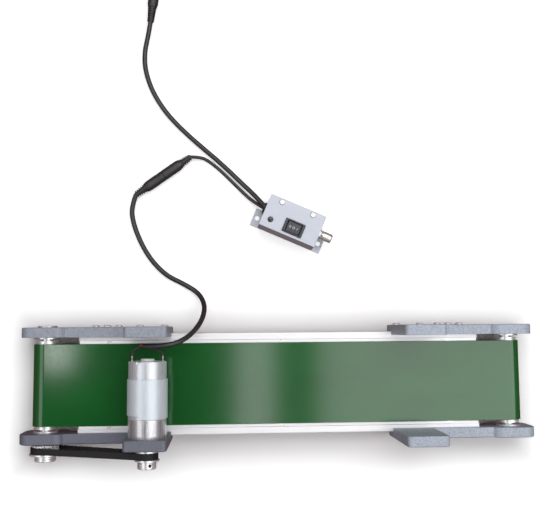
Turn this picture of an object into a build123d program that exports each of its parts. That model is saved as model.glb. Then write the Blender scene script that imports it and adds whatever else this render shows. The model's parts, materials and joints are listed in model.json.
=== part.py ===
"""Small bench belt conveyor: slotted rails, printed end brackets, a belt on two rollers,
a planetary gear motor with an open timing belt, and an in-line speed controller on its lead.
Millimetres.  +X runs along the belt from the drive end, +Y to the rear, +Z up.
The origin is under the middle of the conveyor, on the floor."""

import os
from math import asin, atan2, cos, degrees, pi, radians, sin, sqrt, tan

from build123d import *

os.makedirs("parts", exist_ok=True)

# ---- driving dimensions: conveyor -------------------------------------------------
axle_distance = 466.0      # drive roller axis to idler roller axis
belt_width = 80.0
belt_thickness = 1.4
belt_side_room = 3.0       # roller and deck beyond the belt's edge
belt_clearance = 0.3       # between the still belt loop and a turning roller
axle_radius = 4.0
rail_size = 20.0           # slotted square rail
rail_run_room = 1.0        # rail to each run of the belt, deck included
rail_reach = 10.0          # rail's outer face beyond the belt's edge
rail_setback = 33.0        # roller axis to rail end
roller_radius = rail_size / 2 + rail_run_room
deck_thickness = 1.0
touch_gap = 0.1            # deck to belt underside

# ---- driving dimensions: end brackets ---------------------------------------------
lug_length = 45.0
lug_height = 43.0
lug_corner = 11.5
bracket_thickness = 10.0
rail_lip = 3.5             # how far the bracket reaches in over the rail
arm_rise = 6.5             # arm top above rail top
tower_width = 40.0
tower_rise = 26.5          # tower top above the motor axis
idler_tower_centre = 101.0
motor_height = 68.0
arm_bolt_places = (48.0, 59.3, 70.6)
tower_bolt_offset = 12.2
bolt_radius = 2.0
bolt_head_radius = 3.9
bolt_head_height = 2.0
bolt_clearance = 0.25

# ---- driving dimensions: bearings -------------------------------------------------
bearing_radius = 11.0
bearing_width = 7.0
flange_rim = 1.5           # flange beyond the bearing's outer ring
flange_thickness = 1.5
running_gap = 0.05         # radial, inner ring to outer ring

# ---- driving dimensions: gear motor -----------------------------------------------
gearbox_radius = 18.0
gearbox_length = 17.0
cover_thickness = 5.0
pilot_radius = 11.0
pilot_depth = 2.5
motor_length = 53.5
can_radius = 17.9
can_wall = 1.5
ring_radius = 18.9
ring_start = 0.6           # front of the can to the flux ring
ring_length = 36.5
output_radius = 4.0
screw_circle = 28.0
motor_screw_radius = 1.5
motor_head_radius = 2.75
motor_head_height = 3.0
gear_module = 0.7
sun_teeth = 12
planet_teeth = 15
ring_teeth = sun_teeth + 2 * planet_teeth
planet_count = 3
motor_shaft_radius = 1.6

# ---- driving dimensions: timing drive ---------------------------------------------
tooth_pitch = 3.0
roller_pulley_teeth = 28
motor_pulley_teeth = 20
timing_belt_teeth = 100    # its length sets how far the motor stands from the drive roller
timing_width = 6.0
timing_offset = 7.0        # bracket's outer face to the middle of the timing belt
hub_offset = 19.0          # bracket's outer face to the end of the motor pulley's hub
roller_hub_offset = 18.0
pulley_flange = 1.5
set_screw_radius = 1.5

# ---- driving dimensions: speed controller and leads -------------------------------
box_length = 61.0
box_width = 34.0
box_height = 33.0
box_wall = 1.2
box_turn = -23.1           # degrees about Z
box_x, box_y = 13.2, 171.7
ear_length = 9.0
ear_width = 19.0
ear_hole_radius = 2.6
ear_hole_spacing = 70.0
lead_radius = 2.5
thin_lead_radius = 1.75
connector_radius = 5.5

# ---- worked-out places ------------------------------------------------------------
drive_x = -axle_distance / 2
idler_x = axle_distance / 2
frame_half_width = belt_width / 2 + rail_reach
roller_length = belt_width + 2 * belt_side_room
deck_width = belt_width + 2 * belt_side_room
outer_face = frame_half_width - rail_lip + bracket_thickness
inner_face = frame_half_width - rail_lip
timing_plane = outer_face + timing_offset
hub_end = outer_face + hub_offset
roller_hub_end = outer_face + roller_hub_offset
flange_radius = bearing_radius + flange_rim
rear_reach = outer_face + bolt_head_height
centre_y = (hub_end - rear_reach) / 2
axle_z = lug_height / 2
belt_inner = roller_radius + belt_clearance
belt_outer = belt_inner + belt_thickness
deck_top = axle_z + belt_inner - touch_gap
rail_top = deck_top - deck_thickness
rail_bottom = rail_top - rail_size
rail_middle = rail_top - rail_size / 2
arm_top = rail_top + arm_rise
tower_top = motor_height + tower_rise
rail_length = axle_distance - 2 * rail_setback
belt_plane = Plane(origin=(0, centre_y, 0), x_dir=(1, 0, 0), z_dir=(0, -1, 0))


def pitch_radius(teeth):
    """Radius of a timing pulley's pitch circle."""
    return teeth * tooth_pitch / (2 * pi)


def centre_distance(belt_teeth, first, second):
    """Distance between two pulleys of these pitch radii that keeps their belt taut."""
    spare = 4 * belt_teeth * tooth_pitch - 4 * pi * (first + second)
    return (spare + sqrt(spare ** 2 - 128 * (first - second) ** 2)) / 16


roller_pitch = pitch_radius(roller_pulley_teeth)
motor_pitch = pitch_radius(motor_pulley_teeth)
pulley_distance = centre_distance(timing_belt_teeth, roller_pitch, motor_pitch)
drive_tower_centre = sqrt(pulley_distance ** 2 - (motor_height - axle_z) ** 2)
motor_x = drive_x + drive_tower_centre
roller_centre = (drive_x, axle_z)
motor_centre = (motor_x, motor_height)


def front_plane(depth):
    """Upright plane facing the front, depth ahead of the belt's centreline: local (X, Z)."""
    return belt_plane.offset(depth)


def save(builder, name):
    """Label a finished piece and write it out."""
    builder.part.label = name
    export_step(builder.part, f"parts/{name}.step")


# ---- slotted rails ----------------------------------------------------------------
slot_mouth = 6.2
slot_lip = 1.8
slot_shoulder = 3.4        # depth where the cavity starts to narrow
slot_floor = 6.1
slot_cavity = 11.0
slot_floor_width = 6.0
rail_core_radius = 2.1
rail_edge_round = 1.0


def make_rail(side):
    """One rail; side is -1 at the front and 1 at the rear."""
    middle = centre_y + side * (frame_half_width - rail_size / 2)
    face = Plane(origin=(drive_x + rail_setback, middle, rail_middle), x_dir=(0, 1, 0), z_dir=(1, 0, 0))
    half = rail_size / 2
    with BuildPart() as rail:
        with BuildSketch(face):
            RectangleRounded(rail_size, rail_size, rail_edge_round)
            with PolarLocations(0, 4):
                Polygon(
                    (half + 1, slot_mouth / 2), (half - slot_lip, slot_mouth / 2),
                    (half - slot_lip, slot_cavity / 2), (half - slot_shoulder, slot_cavity / 2),
                    (half - slot_floor, slot_floor_width / 2), (half - slot_floor, -slot_floor_width / 2),
                    (half - slot_shoulder, -slot_cavity / 2), (half - slot_lip, -slot_cavity / 2),
                    (half - slot_lip, -slot_mouth / 2), (half + 1, -slot_mouth / 2),
                    align=None, mode=Mode.SUBTRACT)
            Circle(rail_core_radius, mode=Mode.SUBTRACT)
        extrude(amount=rail_length)
    return rail


rail_front = make_rail(-1)
save(rail_front, "rail_front")
rail_rear = make_rail(1)
save(rail_rear, "rail_rear")

# ---- deck plate and cross bars ----------------------------------------------------
deck_inset = 1.0           # rail end to deck end
end_screw_inset = 30.0     # rail end to the first deck screw
deck_screw_reach = rail_length / 2 - end_screw_inset
deck_screw_places = [-deck_screw_reach, 0, deck_screw_reach]
screw_row = frame_half_width - rail_size / 2
deck_screw_radius = 1.5
deck_screw_length = 5.0
deck_head_radius = 2.8
deck_head_height = 0.8
screw_clearance = 0.1

with BuildPart() as deck_plate:
    with BuildSketch(Plane.XY.offset(rail_top)):
        with Locations((0, centre_y)):
            Rectangle(rail_length - 2 * deck_inset, deck_width)
    extrude(amount=deck_thickness)
    with Locations((0, centre_y, deck_top)):
        with Locations([(x, s * screw_row) for x in deck_screw_places for s in (-1, 1)]):
            CounterBoreHole(deck_screw_radius + screw_clearance, deck_head_radius + screw_clearance,
                            deck_head_height, 2 * deck_thickness)
save(deck_plate, "deck_plate")

bar_width = 16.0
bar_height = 12.0
bar_core_radius = 2.5
bar_length = 2 * (frame_half_width - rail_size)
with BuildPart() as cross_bars:
    with Locations([(x, centre_y, rail_middle) for x in deck_screw_places]):
        Box(bar_width, bar_length, bar_height)
        Cylinder(bar_core_radius, 2 * bar_length, rotation=(90, 0, 0), mode=Mode.SUBTRACT)
save(cross_bars, "cross_bars")

with BuildPart() as deck_screws:
    with BuildSketch(Plane.XY.offset(deck_top - deck_head_height)):
        with Locations([(x, centre_y + s * screw_row) for x in deck_screw_places for s in (-1, 1)]):
            Circle(deck_head_radius)
    extrude(amount=deck_head_height)
    with BuildSketch(Plane.XY.offset(deck_top - deck_head_height)):
        with Locations([(x, centre_y + s * screw_row) for x in deck_screw_places for s in (-1, 1)]):
            Circle(deck_screw_radius)
    extrude(amount=-deck_screw_length)
save(deck_screws, "deck_screws")

# ---- end brackets -----------------------------------------------------------------
bearing_pocket = bearing_width - flange_thickness
outer_bore_radius = bearing_radius - 1.5
corner_round = 4.0
edge_chamfer = 0.8
head_clearance = 0.2


def bolt_places(axis_x, toward, tower_centre):
    """X of every bolt that holds one bracket to its rail."""
    tower_x = axis_x + toward * tower_centre
    on_arm = [axis_x + toward * place for place in arm_bolt_places]
    return on_arm + [tower_x - tower_bolt_offset, tower_x + tower_bolt_offset]


def make_bracket(axis_x, toward, tower_centre, motor_side):
    """Front bracket of one end; toward points from the roller axis to the middle."""
    tower_x = axis_x + toward * tower_centre
    far_x = tower_x + toward * tower_width / 2
    rail_x = axis_x + toward * rail_setback
    with BuildPart() as bracket:
        with BuildSketch(front_plane(inner_face)) as outline:
            with Locations((axis_x, axle_z)):
                RectangleRounded(lug_length, lug_height, lug_corner)
            with Locations(((axis_x + far_x) / 2, (rail_bottom + arm_top) / 2)):
                Rectangle(abs(far_x - axis_x), arm_top - rail_bottom)
            with Locations((tower_x, (rail_bottom + tower_top) / 2)):
                Rectangle(tower_width, tower_top - rail_bottom)
            top_corners = outline.vertices().group_by(Axis.Y)[-1]
            fillet(top_corners, radius=corner_round)
        extrude(amount=bracket_thickness)
        outer_edges = bracket.faces().sort_by(Axis.Y)[0].outer_wire().edges()
        chamfer(outer_edges, length=edge_chamfer)
        # seat for the rail, cut from the inner side and open at the far end
        seat_length = 2 * abs(far_x - rail_x)
        with BuildSketch(front_plane(inner_face)):
            with Locations((rail_x + toward * seat_length / 2, rail_middle)):
                Rectangle(seat_length, rail_size)
        extrude(amount=rail_lip, mode=Mode.SUBTRACT)
        # bearing seat and the way out for the axle
        with BuildSketch(front_plane(inner_face)):
            with Locations((axis_x, axle_z)):
                Circle(bearing_radius)
        extrude(amount=bearing_pocket, mode=Mode.SUBTRACT)
        with BuildSketch(front_plane(inner_face)):
            with Locations((axis_x, axle_z)):
                Circle(outer_bore_radius)
        extrude(amount=bracket_thickness, mode=Mode.SUBTRACT)
        # holes for the bolts into the rail
        with BuildSketch(front_plane(inner_face)):
            with Locations([(x, rail_middle) for x in bolt_places(axis_x, toward, tower_centre)]):
                Circle(bolt_radius + bolt_clearance)
        extrude(amount=bracket_thickness, mode=Mode.SUBTRACT)
        if motor_side:
            with BuildSketch(front_plane(inner_face)):
                with Locations((tower_x, motor_height)):
                    Circle(pilot_radius)
                    with PolarLocations(screw_circle / 2, 4, start_angle=45):
                        Circle(motor_screw_radius + screw_clearance)
            extrude(amount=bracket_thickness, mode=Mode.SUBTRACT)
            with BuildSketch(front_plane(outer_face - motor_head_height)):
                with Locations((tower_x, motor_height)):
                    with PolarLocations(screw_circle / 2, 4, start_angle=45):
                        Circle(motor_head_radius + head_clearance)
            extrude(amount=motor_head_height, mode=Mode.SUBTRACT)
    return bracket


drive_bracket_front = make_bracket(drive_x, 1, drive_tower_centre, True)
save(drive_bracket_front, "drive_bracket_front")
idler_bracket_front = make_bracket(idler_x, -1, idler_tower_centre, False)
save(idler_bracket_front, "idler_bracket_front")

drive_plain_bracket = make_bracket(drive_x, 1, drive_tower_centre, False)
with BuildPart() as drive_bracket_rear:
    mirror(drive_plain_bracket.part, about=belt_plane)
save(drive_bracket_rear, "drive_bracket_rear")
with BuildPart() as idler_bracket_rear:
    mirror(idler_bracket_front.part, about=belt_plane)
save(idler_bracket_rear, "idler_bracket_rear")

# ---- bracket bolts and slot nuts --------------------------------------------------
bolt_reach = 9.0           # shank length, from the bracket's outer face into the nut
bolt_head_chamfer = 1.1
hex_radius = 1.45
hex_depth = 1.2
nut_length = 10.0
nut_height = 9.4
nut_thickness = 1.5
nut_gap = 0.05             # nut to the slot's lip
all_bolts = bolt_places(drive_x, 1, drive_tower_centre) + bolt_places(idler_x, -1, idler_tower_centre)
nut_seat = frame_half_width - slot_lip - nut_gap

with BuildPart() as bracket_bolts:
    with BuildSketch(front_plane(outer_face)):
        with Locations([(x, rail_middle) for x in all_bolts]):
            Circle(bolt_head_radius)
    extrude(amount=bolt_head_height)
    chamfer(bracket_bolts.faces().filter_by(Plane.XZ).group_by(Axis.Y)[0].edges(), length=bolt_head_chamfer)
    with BuildSketch(front_plane(outer_face + bolt_head_height)):
        with Locations([(x, rail_middle) for x in all_bolts]):
            RegularPolygon(hex_radius, 6)
    extrude(amount=-hex_depth, mode=Mode.SUBTRACT)
    with BuildSketch(front_plane(outer_face)):
        with Locations([(x, rail_middle) for x in all_bolts]):
            Circle(bolt_radius)
    extrude(amount=-bolt_reach)
    mirror(bracket_bolts.part, about=belt_plane)
save(bracket_bolts, "bracket_bolts")

with BuildPart() as slot_nuts:
    with BuildSketch(front_plane(nut_seat)):
        with Locations([(x, rail_middle) for x in all_bolts]):
            Rectangle(nut_length, nut_height)
            Circle(bolt_radius, mode=Mode.SUBTRACT)
    extrude(amount=-nut_thickness)
    mirror(slot_nuts.part, about=belt_plane)
    with BuildSketch(Plane.XY.offset(rail_top - slot_lip - nut_gap)):
        with Locations([(x, centre_y + s * screw_row) for x in deck_screw_places for s in (-1, 1)]):
            Rectangle(nut_length, nut_height)
            Circle(deck_screw_radius, mode=Mode.SUBTRACT)
    extrude(amount=-nut_thickness)
save(slot_nuts, "slot_nuts")

# ---- conveyor belt ----------------------------------------------------------------


def belt_loop(inner, outer, start, end, width):
    """Closed loop of equal pulleys: a band between two stadium outlines, in the front plane."""
    length = end[0] - start[0]
    with BuildPart() as loop:
        with BuildSketch(front_plane(-width / 2)):
            with Locations(((start[0] + end[0]) / 2, start[1])):
                SlotCenterToCenter(length, 2 * outer)
                SlotCenterToCenter(length, 2 * inner, mode=Mode.SUBTRACT)
        extrude(amount=width)
    return loop


conveyor_belt = belt_loop(belt_inner, belt_outer, (drive_x, axle_z), (idler_x, axle_z), belt_width)
save(conveyor_belt, "conveyor_belt")

# ---- bearings ---------------------------------------------------------------------
inner_ring_radius = 6.5


def bearing_rings(axis_x):
    """Outer ring pair and inner ring pair of one roller, front and rear."""
    with BuildPart() as outer_rings:
        with BuildSketch(front_plane(inner_face - flange_thickness)):
            with Locations((axis_x, axle_z)):
                Circle(flange_radius)
                Circle(inner_ring_radius + running_gap, mode=Mode.SUBTRACT)
        extrude(amount=flange_thickness)
        with BuildSketch(front_plane(inner_face)):
            with Locations((axis_x, axle_z)):
                Circle(bearing_radius)
                Circle(inner_ring_radius + running_gap, mode=Mode.SUBTRACT)
        extrude(amount=bearing_pocket)
        mirror(outer_rings.part, about=belt_plane)
    with BuildPart() as inner_rings:
        with BuildSketch(front_plane(inner_face - flange_thickness)):
            with Locations((axis_x, axle_z)):
                Circle(inner_ring_radius)
                Circle(axle_radius, mode=Mode.SUBTRACT)
        extrude(amount=bearing_width)
        mirror(inner_rings.part, about=belt_plane)
    return outer_rings, inner_rings


drive_outer_rings, drive_inner_rings = bearing_rings(drive_x)
save(drive_inner_rings, "drive_bearing_inner_rings")
idler_outer_rings, idler_inner_rings = bearing_rings(idler_x)
save(idler_inner_rings, "idler_bearing_inner_rings")
with BuildPart() as bearing_outer_rings:
    add(drive_outer_rings.part)
    add(idler_outer_rings.part)
save(bearing_outer_rings, "bearing_outer_rings")

# ---- rollers ----------------------------------------------------------------------
ring_back = inner_face - flange_thickness + bearing_width     # outer side of an inner ring
groove_depth = 0.8
groove_width = 1.2
belt_side_gap = 0.6        # belt edge to the roller's groove
shoulder_radius = 5.8
axle_recess = 0.5          # axle end under the pulley hub's face
axle_screw_radius = 2.0
axle_screw_depth = 8.0


def turned(axis_x, steps):
    """A turned solid on a roller axis: steps are (from, to, radius) ahead of the centreline."""
    with BuildPart() as solid:
        for start, end, radius in steps:
            with BuildSketch(front_plane(start)):
                with Locations((axis_x, axle_z)):
                    Circle(radius)
            extrude(amount=end - start)
    return solid


def roller_steps(front_end, rear_end):
    """Body with a groove near each end, shoulders against the inner rings, and the axle."""
    half = roller_length / 2
    groove = belt_width / 2 + belt_side_gap
    shoulder = inner_face - flange_thickness
    return [
        (-groove, groove, roller_radius),
        (-half, half, roller_radius - groove_depth),
        (groove + groove_width, half, roller_radius),
        (-half, -groove - groove_width, roller_radius),
        (-shoulder, shoulder, shoulder_radius),
        (-rear_end, front_end, axle_radius),
    ]


def drill_end(builder, axis_x, depth, toward):
    """Tapped hole in an axle end."""
    with BuildPart() as drilled:
        add(builder.part)
        with BuildSketch(front_plane(depth)):
            with Locations((axis_x, axle_z)):
                Circle(axle_screw_radius)
        extrude(amount=-toward * axle_screw_depth, mode=Mode.SUBTRACT)
    return drilled


drive_roller = turned(drive_x, roller_steps(roller_hub_end - axle_recess, ring_back))
drive_roller = drill_end(drive_roller, drive_x, -ring_back, -1)
save(drive_roller, "drive_roller")
idler_roller = turned(idler_x, roller_steps(ring_back, ring_back))
idler_roller = drill_end(idler_roller, idler_x, -ring_back, -1)
idler_roller = drill_end(idler_roller, idler_x, ring_back, 1)
save(idler_roller, "idler_roller")

# ---- axle end screws with their washers -------------------------------------------
washer_radius = 6.3
washer_thickness = 1.2
end_head_radius = 3.9
end_head_height = 2.2
screw_end_gap = 1.0        # screw end to the bottom of its hole


def end_screw(axis_x, toward):
    """Washer against the inner ring and a button screw into the axle."""
    with BuildPart() as screw:
        with BuildSketch(front_plane(toward * ring_back)):
            with Locations((axis_x, axle_z)):
                Circle(washer_radius)
        extrude(amount=toward * washer_thickness)
        with BuildSketch(front_plane(toward * (ring_back + washer_thickness))):
            with Locations((axis_x, axle_z)):
                Circle(end_head_radius)
        extrude(amount=toward * end_head_height)
        with BuildSketch(front_plane(toward * (ring_back + washer_thickness + end_head_height))):
            with Locations((axis_x, axle_z)):
                RegularPolygon(hex_radius, 6)
        extrude(amount=-toward * hex_depth, mode=Mode.SUBTRACT)
        with BuildSketch(front_plane(toward * ring_back)):
            with Locations((axis_x, axle_z)):
                Circle(axle_screw_radius)
        extrude(amount=-toward * (axle_screw_depth - screw_end_gap))
    return screw


drive_end_screw = end_screw(drive_x, -1)
save(drive_end_screw, "drive_axle_screw")
idler_screw_front = end_screw(idler_x, 1)
idler_screw_rear = end_screw(idler_x, -1)
with BuildPart() as idler_axle_screws:
    add(idler_screw_front.part)
    add(idler_screw_rear.part)
save(idler_axle_screws, "idler_axle_screws")

# ---- timing pulleys ---------------------------------------------------------------
pitch_to_tip = 0.38
groove_radius = 0.95
groove_centre = 0.30       # groove centre below the tooth tips
roller_screw_turns = (250.0, 340.0)
motor_screw_turns = (66.0, 152.0)


# the grooves of both pulleys have to meet the same belt at rest
line_turn = atan2(motor_height - axle_z, drive_tower_centre)
belt_lean = asin((roller_pitch - motor_pitch) / pulley_distance)
upper_touch = line_turn + pi / 2 - belt_lean
free_run = sqrt(pulley_distance ** 2 - (roller_pitch - motor_pitch) ** 2)
motor_pulley_turn = degrees((free_run - (roller_pitch - motor_pitch) * upper_touch) / motor_pitch)


def make_pulley(centre, teeth, turn, tooth_start, inner_flange, hub_radius, end, bore, screw_ways):
    """Toothed drum, flange or flanges, and a hub with two set screw holes."""
    tip = pitch_radius(teeth) - pitch_to_tip
    with BuildPart() as pulley:
        with BuildSketch(front_plane(tooth_start)):
            with Locations(centre):
                Circle(tip)
                with PolarLocations(tip - groove_centre, teeth, start_angle=turn):
                    Circle(groove_radius, mode=Mode.SUBTRACT)
        extrude(amount=drum_edge - tooth_start)
        flange_starts = [drum_edge] + ([tooth_start - pulley_flange] if inner_flange else [])
        for start in flange_starts:
            with BuildSketch(front_plane(start)):
                with Locations(centre):
                    Circle(pitch_radius(teeth) + flange_rise)
            extrude(amount=pulley_flange)
        with BuildSketch(front_plane(hub_start)):
            with Locations(centre):
                Circle(hub_radius)
        extrude(amount=end - hub_start)
        chamfer(pulley.faces().sort_by(Axis.Y)[0].outer_wire().edges(), length=hub_chamfer)
        with BuildSketch(front_plane(end)):
            with Locations(centre):
                Circle(bore)
        extrude(amount=-2 * (end - tooth_start), mode=Mode.SUBTRACT)
        for way in screw_ways:
            with BuildSketch(Plane(origin=hub_middle(centre, end), z_dir=way)):
                Circle(set_screw_radius)
            extrude(amount=2 * hub_radius, mode=Mode.SUBTRACT)
    return pulley


def front_way(turn):
    """Direction in the front plane at an angle above X."""
    return Vector(cos(radians(turn)), 0, sin(radians(turn)))


def hub_middle(centre, end):
    """Point on the shaft's axis under a hub's set screws."""
    return Vector(centre[0], centre_y - (hub_start + end) / 2, centre[1])


def set_screws(centre, end, hub_radius, shaft_radius, screw_ways):
    """Two grub screws in a hub, from the shaft to just under the hub's surface."""
    length = hub_radius - shaft_radius - set_screw_sink
    with BuildPart() as screws:
        for way in screw_ways:
            foot = hub_middle(centre, end) + way * shaft_radius
            with BuildSketch(Plane(origin=foot, z_dir=way)):
                Circle(set_screw_radius)
            extrude(amount=length)
            with BuildSketch(Plane(origin=foot + way * length, z_dir=way)):
                RegularPolygon(set_screw_radius / 2, 6)
            extrude(amount=-hex_depth, mode=Mode.SUBTRACT)
    return screws


roller_hub_radius = 10.2
motor_hub_radius = 8.8
flange_rise = 2.0          # flange edge above the pitch circle
hub_chamfer = 0.6
set_screw_sink = 0.8
drum_clearance = 0.3       # timing belt edge to flange
drum_edge = timing_plane + timing_width / 2 + drum_clearance
hub_start = drum_edge + pulley_flange
roller_tooth_start = outer_face + 2.0
motor_tooth_start = timing_plane - timing_width / 2 - drum_clearance
roller_screw_ways = [front_way(turn) for turn in roller_screw_turns]
motor_screw_ways = [front_way(turn) for turn in motor_screw_turns]

roller_pulley = make_pulley(roller_centre, roller_pulley_teeth, 0, roller_tooth_start, False,
                            roller_hub_radius, roller_hub_end, axle_radius, roller_screw_ways)
save(roller_pulley, "roller_pulley")
roller_set_screws = set_screws(roller_centre, roller_hub_end, roller_hub_radius, axle_radius,
                               roller_screw_ways)
save(roller_set_screws, "roller_pulley_set_screws")
motor_pulley = make_pulley(motor_centre, motor_pulley_teeth, motor_pulley_turn, motor_tooth_start, True,
                           motor_hub_radius, hub_end, output_radius, motor_screw_ways)
save(motor_pulley, "motor_pulley")
motor_set_screws = set_screws(motor_centre, hub_end, motor_hub_radius, output_radius, motor_screw_ways)
save(motor_set_screws, "motor_pulley_set_screws")

# ---- timing belt ------------------------------------------------------------------
band_inside = -0.05        # band surfaces measured from the pitch line
band_outside = 0.95


def around_two(first, r_first, second, r_second):
    """Edges of a taut band's outline round two circles."""
    dx, dz = second[0] - first[0], second[1] - first[1]
    reach = sqrt(dx * dx + dz * dz)
    lean = asin((r_first - r_second) / reach)
    along = Vector(dx / reach, dz / reach)
    across = Vector(-along.Y, along.X)

    def touch(centre, radius, side):
        way = along * sin(lean) + across * (side * cos(lean))
        return (centre[0] + way.X * radius, centre[1] + way.Y * radius)

    upper = [touch(first, r_first, 1), touch(second, r_second, 1)]
    lower = [touch(second, r_second, -1), touch(first, r_first, -1)]
    far = (second[0] + along.X * r_second, second[1] + along.Y * r_second)
    back = (first[0] - along.X * r_first, first[1] - along.Y * r_first)
    with BuildLine() as outline:
        Line(upper[0], upper[1])
        ThreePointArc(upper[1], far, lower[0])
        Line(lower[0], lower[1])
        ThreePointArc(lower[1], back, upper[0])
    return outline.edges()


with BuildPart() as timing_belt:
    with BuildSketch(front_plane(timing_plane - timing_width / 2)):
        make_face(around_two(roller_centre, roller_pitch + band_outside,
                             motor_centre, motor_pitch + band_outside))
        make_face(around_two(roller_centre, roller_pitch + band_inside,
                             motor_centre, motor_pitch + band_inside), mode=Mode.SUBTRACT)
    extrude(amount=timing_width)
save(timing_belt, "timing_belt")

# ---- gear motor: gearbox ----------------------------------------------------------
gear_start = inner_face - gearbox_length      # back of the gearbox, ahead of the centreline
gear_end = inner_face - cover_thickness
sun_pitch = gear_module * sun_teeth / 2
planet_pitch = gear_module * planet_teeth / 2
ring_pitch = gear_module * ring_teeth / 2
planet_orbit = sun_pitch + planet_pitch
tooth_share = 0.40         # tooth thickness at the pitch circle, as a share of the pitch
tooth_root_share = 1.30    # tooth thickness at its root and tip, as shares of that at the pitch circle
tooth_tip_share = 0.66
tooth_sink = 0.1           # how far a tooth reaches into its rim
tooth_up = 0.62 * gear_module
tooth_down = 1.05 * gear_module
planet_bore = 1.5
pin_clearance = 0.05
web_thickness = 1.2
web_bore_radius = 5.6
end_play = 0.4             # between the gears and what stands beside them
planet_start = gear_start + web_thickness + 2 * end_play
carrier_thickness = 2.6
carrier_gap = 0.3          # planet faces to the carrier
planet_end = gear_end - carrier_thickness - carrier_gap - end_play
pilot_clearance = 0.05
screw_tip_gap = 0.5


def gear_teeth(pitch, teeth, up, down, turn):
    """Straight-sided teeth as faces to add round the current location."""
    step = 360 / teeth
    base = tooth_share * step * tooth_root_share / 2
    tip = tooth_share * step * tooth_tip_share / 2

    def at(radius, angle):
        return (radius * cos(radians(angle)), radius * sin(radians(angle)))

    with Locations([Location((0, 0), turn + k * step) for k in range(teeth)]):
        Polygon(at(pitch + down, -base), at(pitch + up, -tip), at(pitch + up, tip), at(pitch + down, base),
                align=None)


def gear(centre, pitch, teeth, start, end, bore, turn):
    """A plain spur gear in the front plane."""
    with BuildPart() as wheel:
        with BuildSketch(front_plane(start)):
            with Locations(centre):
                Circle(pitch - tooth_down)
                gear_teeth(pitch, teeth, tooth_up, -tooth_down - tooth_sink, turn)
                Circle(bore, mode=Mode.SUBTRACT)
        extrude(amount=end - start)
    return wheel


with BuildPart() as ring_gear:
    with BuildSketch(front_plane(gear_start)):
        with Locations(motor_centre):
            Circle(gearbox_radius)
            Circle(ring_pitch + tooth_down, mode=Mode.SUBTRACT)
            gear_teeth(ring_pitch, ring_teeth, -tooth_up, tooth_down + tooth_sink, 0)
    extrude(amount=gear_end - gear_start)
    # web against the motor, with a hole for the motor's shaft
    with BuildSketch(front_plane(gear_start)):
        with Locations(motor_centre):
            Circle((gearbox_radius + ring_pitch) / 2)
            Circle(web_bore_radius, mode=Mode.SUBTRACT)
    extrude(amount=web_thickness)
save(ring_gear, "gearbox_ring_gear")

with BuildPart() as gearbox_cover:
    with BuildSketch(front_plane(gear_end)):
        with Locations(motor_centre):
            Circle(gearbox_radius)
    extrude(amount=cover_thickness)
    with BuildSketch(front_plane(inner_face)):
        with Locations(motor_centre):
            Circle(pilot_radius - pilot_clearance)
    extrude(amount=pilot_depth)
    with BuildSketch(front_plane(gear_end)):
        with Locations(motor_centre):
            Circle(output_radius + running_gap)
    extrude(amount=cover_thickness + pilot_depth, mode=Mode.SUBTRACT)
    with BuildSketch(front_plane(inner_face)):
        with Locations(motor_centre):
            with PolarLocations(screw_circle / 2, 4, start_angle=45):
                Circle(motor_screw_radius)
    extrude(amount=-cover_thickness, mode=Mode.SUBTRACT)
save(gearbox_cover, "gearbox_cover")

with BuildPart() as motor_screws:
    with BuildSketch(front_plane(outer_face - motor_head_height)):
        with Locations(motor_centre):
            with PolarLocations(screw_circle / 2, 4, start_angle=45):
                Circle(motor_head_radius)
    extrude(amount=motor_head_height - head_clearance)
    with BuildSketch(front_plane(outer_face - head_clearance)):
        with Locations(motor_centre):
            with PolarLocations(screw_circle / 2, 4, start_angle=45):
                RegularPolygon(hex_radius, 6)
    extrude(amount=-hex_depth, mode=Mode.SUBTRACT)
    with BuildSketch(front_plane(outer_face - motor_head_height)):
        with Locations(motor_centre):
            with PolarLocations(screw_circle / 2, 4, start_angle=45):
                Circle(motor_screw_radius)
    extrude(amount=-(bracket_thickness - motor_head_height + cover_thickness - screw_tip_gap))
save(motor_screws, "motor_screws")

sun_gear = gear(motor_centre, sun_pitch, sun_teeth, gear_start + web_thickness + end_play, planet_end,
                motor_shaft_radius, 0)
save(sun_gear, "sun_gear")

planet_angles = [90 + k * 360 / planet_count for k in range(planet_count)]
planet_places = [(motor_x + planet_orbit * cos(radians(a)), motor_height + planet_orbit * sin(radians(a)))
                 for a in planet_angles]


def planet_turn(angle):
    """Turn that puts a planet's space over the sun's tooth on the line of centres."""
    sun_step = 360 / sun_teeth
    planet_step = 360 / planet_teeth
    sun_phase = (angle % sun_step) / sun_step
    return angle + 180 + (0.5 + sun_phase) * planet_step


for name, angle, place in zip("abc", planet_angles, planet_places):
    planet = gear(place, planet_pitch, planet_teeth, planet_start, planet_end, planet_bore, planet_turn(angle))
    save(planet, f"planet_gear_{name}")

carrier_rim = 1.5          # carrier material outside the planet pins
carrier_back = planet_end + carrier_gap
carrier_front = carrier_back + carrier_thickness
output_end = hub_end - 1.0
with BuildPart() as output_shaft:
    with BuildSketch(front_plane(carrier_back)):
        with Locations(motor_centre):
            Circle(planet_orbit + planet_bore + carrier_rim)
    extrude(amount=carrier_thickness)
    with BuildSketch(front_plane(planet_start)):
        with Locations(planet_places):
            Circle(planet_bore - pin_clearance)
    extrude(amount=carrier_back - planet_start)
    with BuildSketch(front_plane(carrier_front)):
        with Locations(motor_centre):
            Circle(output_radius)
    extrude(amount=output_end - carrier_front)
save(output_shaft, "output_shaft_and_carrier")

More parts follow.
